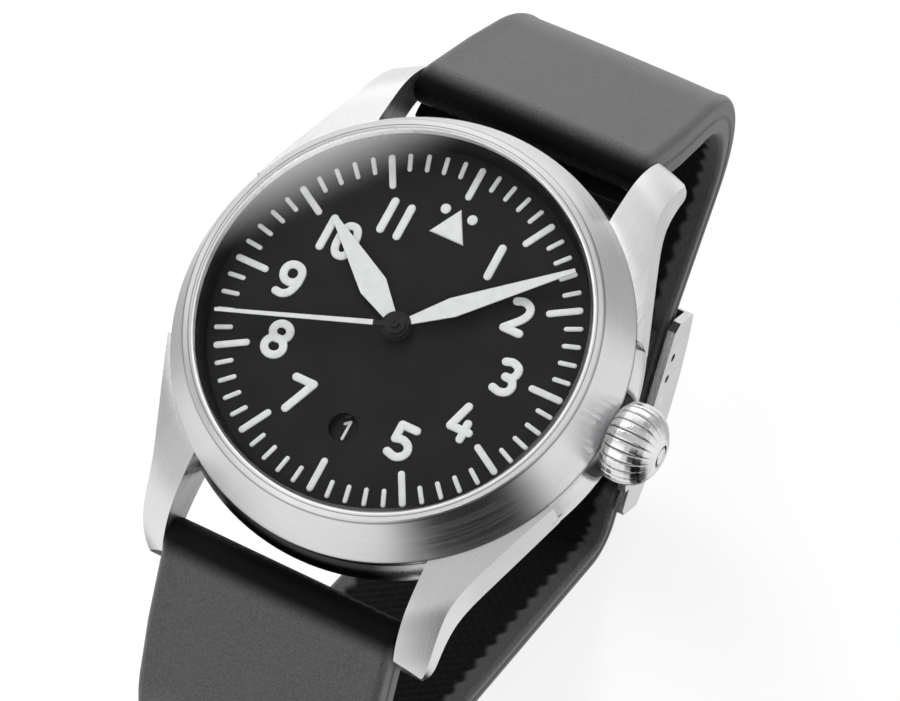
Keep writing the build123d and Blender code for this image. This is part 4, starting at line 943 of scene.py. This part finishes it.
def studioWorld(look):
    # A pale studio by direction. Dark wedges stand round the horizon, spots darken or brighten
    # a cone, and a bright panel starts just beyond the crystal's upper left edge.
    world = bpy.data.worlds.new("studio")
    bpy.context.scene.world = world
    tree = clearedTree(world)
    way = vectorCalc(tree, "NORMALIZE", addNode(tree, "ShaderNodeTexCoord").outputs["Generated"])
    x, y, up = parted(tree, way)
    drift = noise(tree, way, look["driftScale"], detail=1.0)
    level = product(tree, soften(tree, up, *look["rise"]),
                    soften(tree, drift, *bands["narrow"], look["driftLow"], 1.0))
    flat = vectorCalc(tree, "NORMALIZE", joined(tree, x, y, 0.0))
    lowPart = soften(tree, up, look["wedgeTop"] - look["wedgeFade"], look["wedgeTop"], 1.0, 0.0)
    for azimuth, inner, outer, depth in look["wedges"]:
        a = math.radians(azimuth)
        wedge = cone(tree, flat, (math.cos(a), math.sin(a), 0.0), outer, inner, 0.0, depth)
        level = product(tree, level, calc(tree, "SUBTRACT", 1.0, product(tree, wedge, lowPart)))
    for axis, outer, inner, factor in look["spots"]:
        level = product(tree, level, cone(tree, way, axis, outer, inner, 1.0, factor))
    reach = vectorCalc(tree, "DOT_PRODUCT", way, look["panelWay"])
    spread = calc(tree, "ABSOLUTE", vectorCalc(tree, "DOT_PRODUCT", way, look["panelSide"]))
    panel = product(tree, soften(tree, reach, *look["panelStart"], 0.0, look["panelLevel"]),
                    soften(tree, reach, *look["panelEnd"], 1.0, 0.0),
                    soften(tree, spread, *look["panelHalf"], 1.0, 0.0),
                    calc(tree, "GREATER_THAN", up, 0.0))
    camera = addNode(tree, "ShaderNodeLightPath").outputs["Is Camera Ray"]
    level = mixValue(tree, camera, calc(tree, "ADD", level, panel), 1.0)
    out = addNode(tree, "ShaderNodeBackground", {"Color": grey(1.0), "Strength": level})
    addNode(tree, "ShaderNodeOutputWorld", {"Surface": out.outputs[0]})


# Rise gives from and to in height and the level at both. Wedges hold azimuth, inner and outer
# angle and depth, and spots hold direction, outer and inner angle and factor.
studioLook = {
    "rise": (0.1, 0.6, 1.02, 0.66), "driftScale": 1.6, "driftLow": 0.9, "wedgeTop": 0.85, "wedgeFade": 0.2,
    "wedges": ((-44.0, 12.0, 34.0, 1.0), (62.0, 8.0, 24.0, 0.5), (180.0, 6.0, 20.0, 0.5)),
    "spots": (((-0.306, 0.225, 0.925), 12.0, 7.5, 0.05),  # what the crystal mirrors
              ((-0.32, -0.12, -0.93), 30.0, 14.0, 0.05),  # under the case, between the lugs
              ((-0.26, -0.72, 0.64), 30.0, 12.0, 2.2),  # in front of the lower lugs
              ((-0.66, 0.43, 0.61), 34.0, 10.0, 1.3),  # lights the bezel's top from 9 to 12
              ((-0.28, 0.87, 0.40), 45.0, 15.0, 1.5)),  # behind the upper strap
    "panelWay": (-0.777, 0.629, 0.0), "panelSide": (0.629, 0.777, 0.0), "panelStart": (0.455, 0.5),
    "panelEnd": (0.51, 0.56), "panelHalf": (0.24, 0.312), "panelLevel": 8.0,
}
studioWorld(studioLook)

cameraLook = {"place": (108.2, -75.8, 319.3), "right": (0.868393, 0.464091, -0.174681),
              "up": (-0.389905, 0.856692, 0.337718), "back": (0.306380, -0.225163, 0.924896),
              "focalPixels": 4141.0, "imageWidth": 900.0, "sensor": 36.0, "clip": (0.01, 20.0)}
cameraData = bpy.data.cameras.new("photoCamera")
cameraData.sensor_width = cameraLook["sensor"]
cameraData.lens = cameraLook["focalPixels"] / cameraLook["imageWidth"] * cameraLook["sensor"]
cameraData.clip_start, cameraData.clip_end = cameraLook["clip"]
cameraObject = bpy.data.objects.new("photoCamera", cameraData)
cameraObject.matrix_world = placed(*(cameraLook[key] for key in ("right", "up", "back", "place")))
bpy.context.scene.collection.objects.link(cameraObject)
bpy.context.scene.camera = cameraObject
bpy.context.scene.view_settings.view_transform = "Standard"
print("stage and camera set")
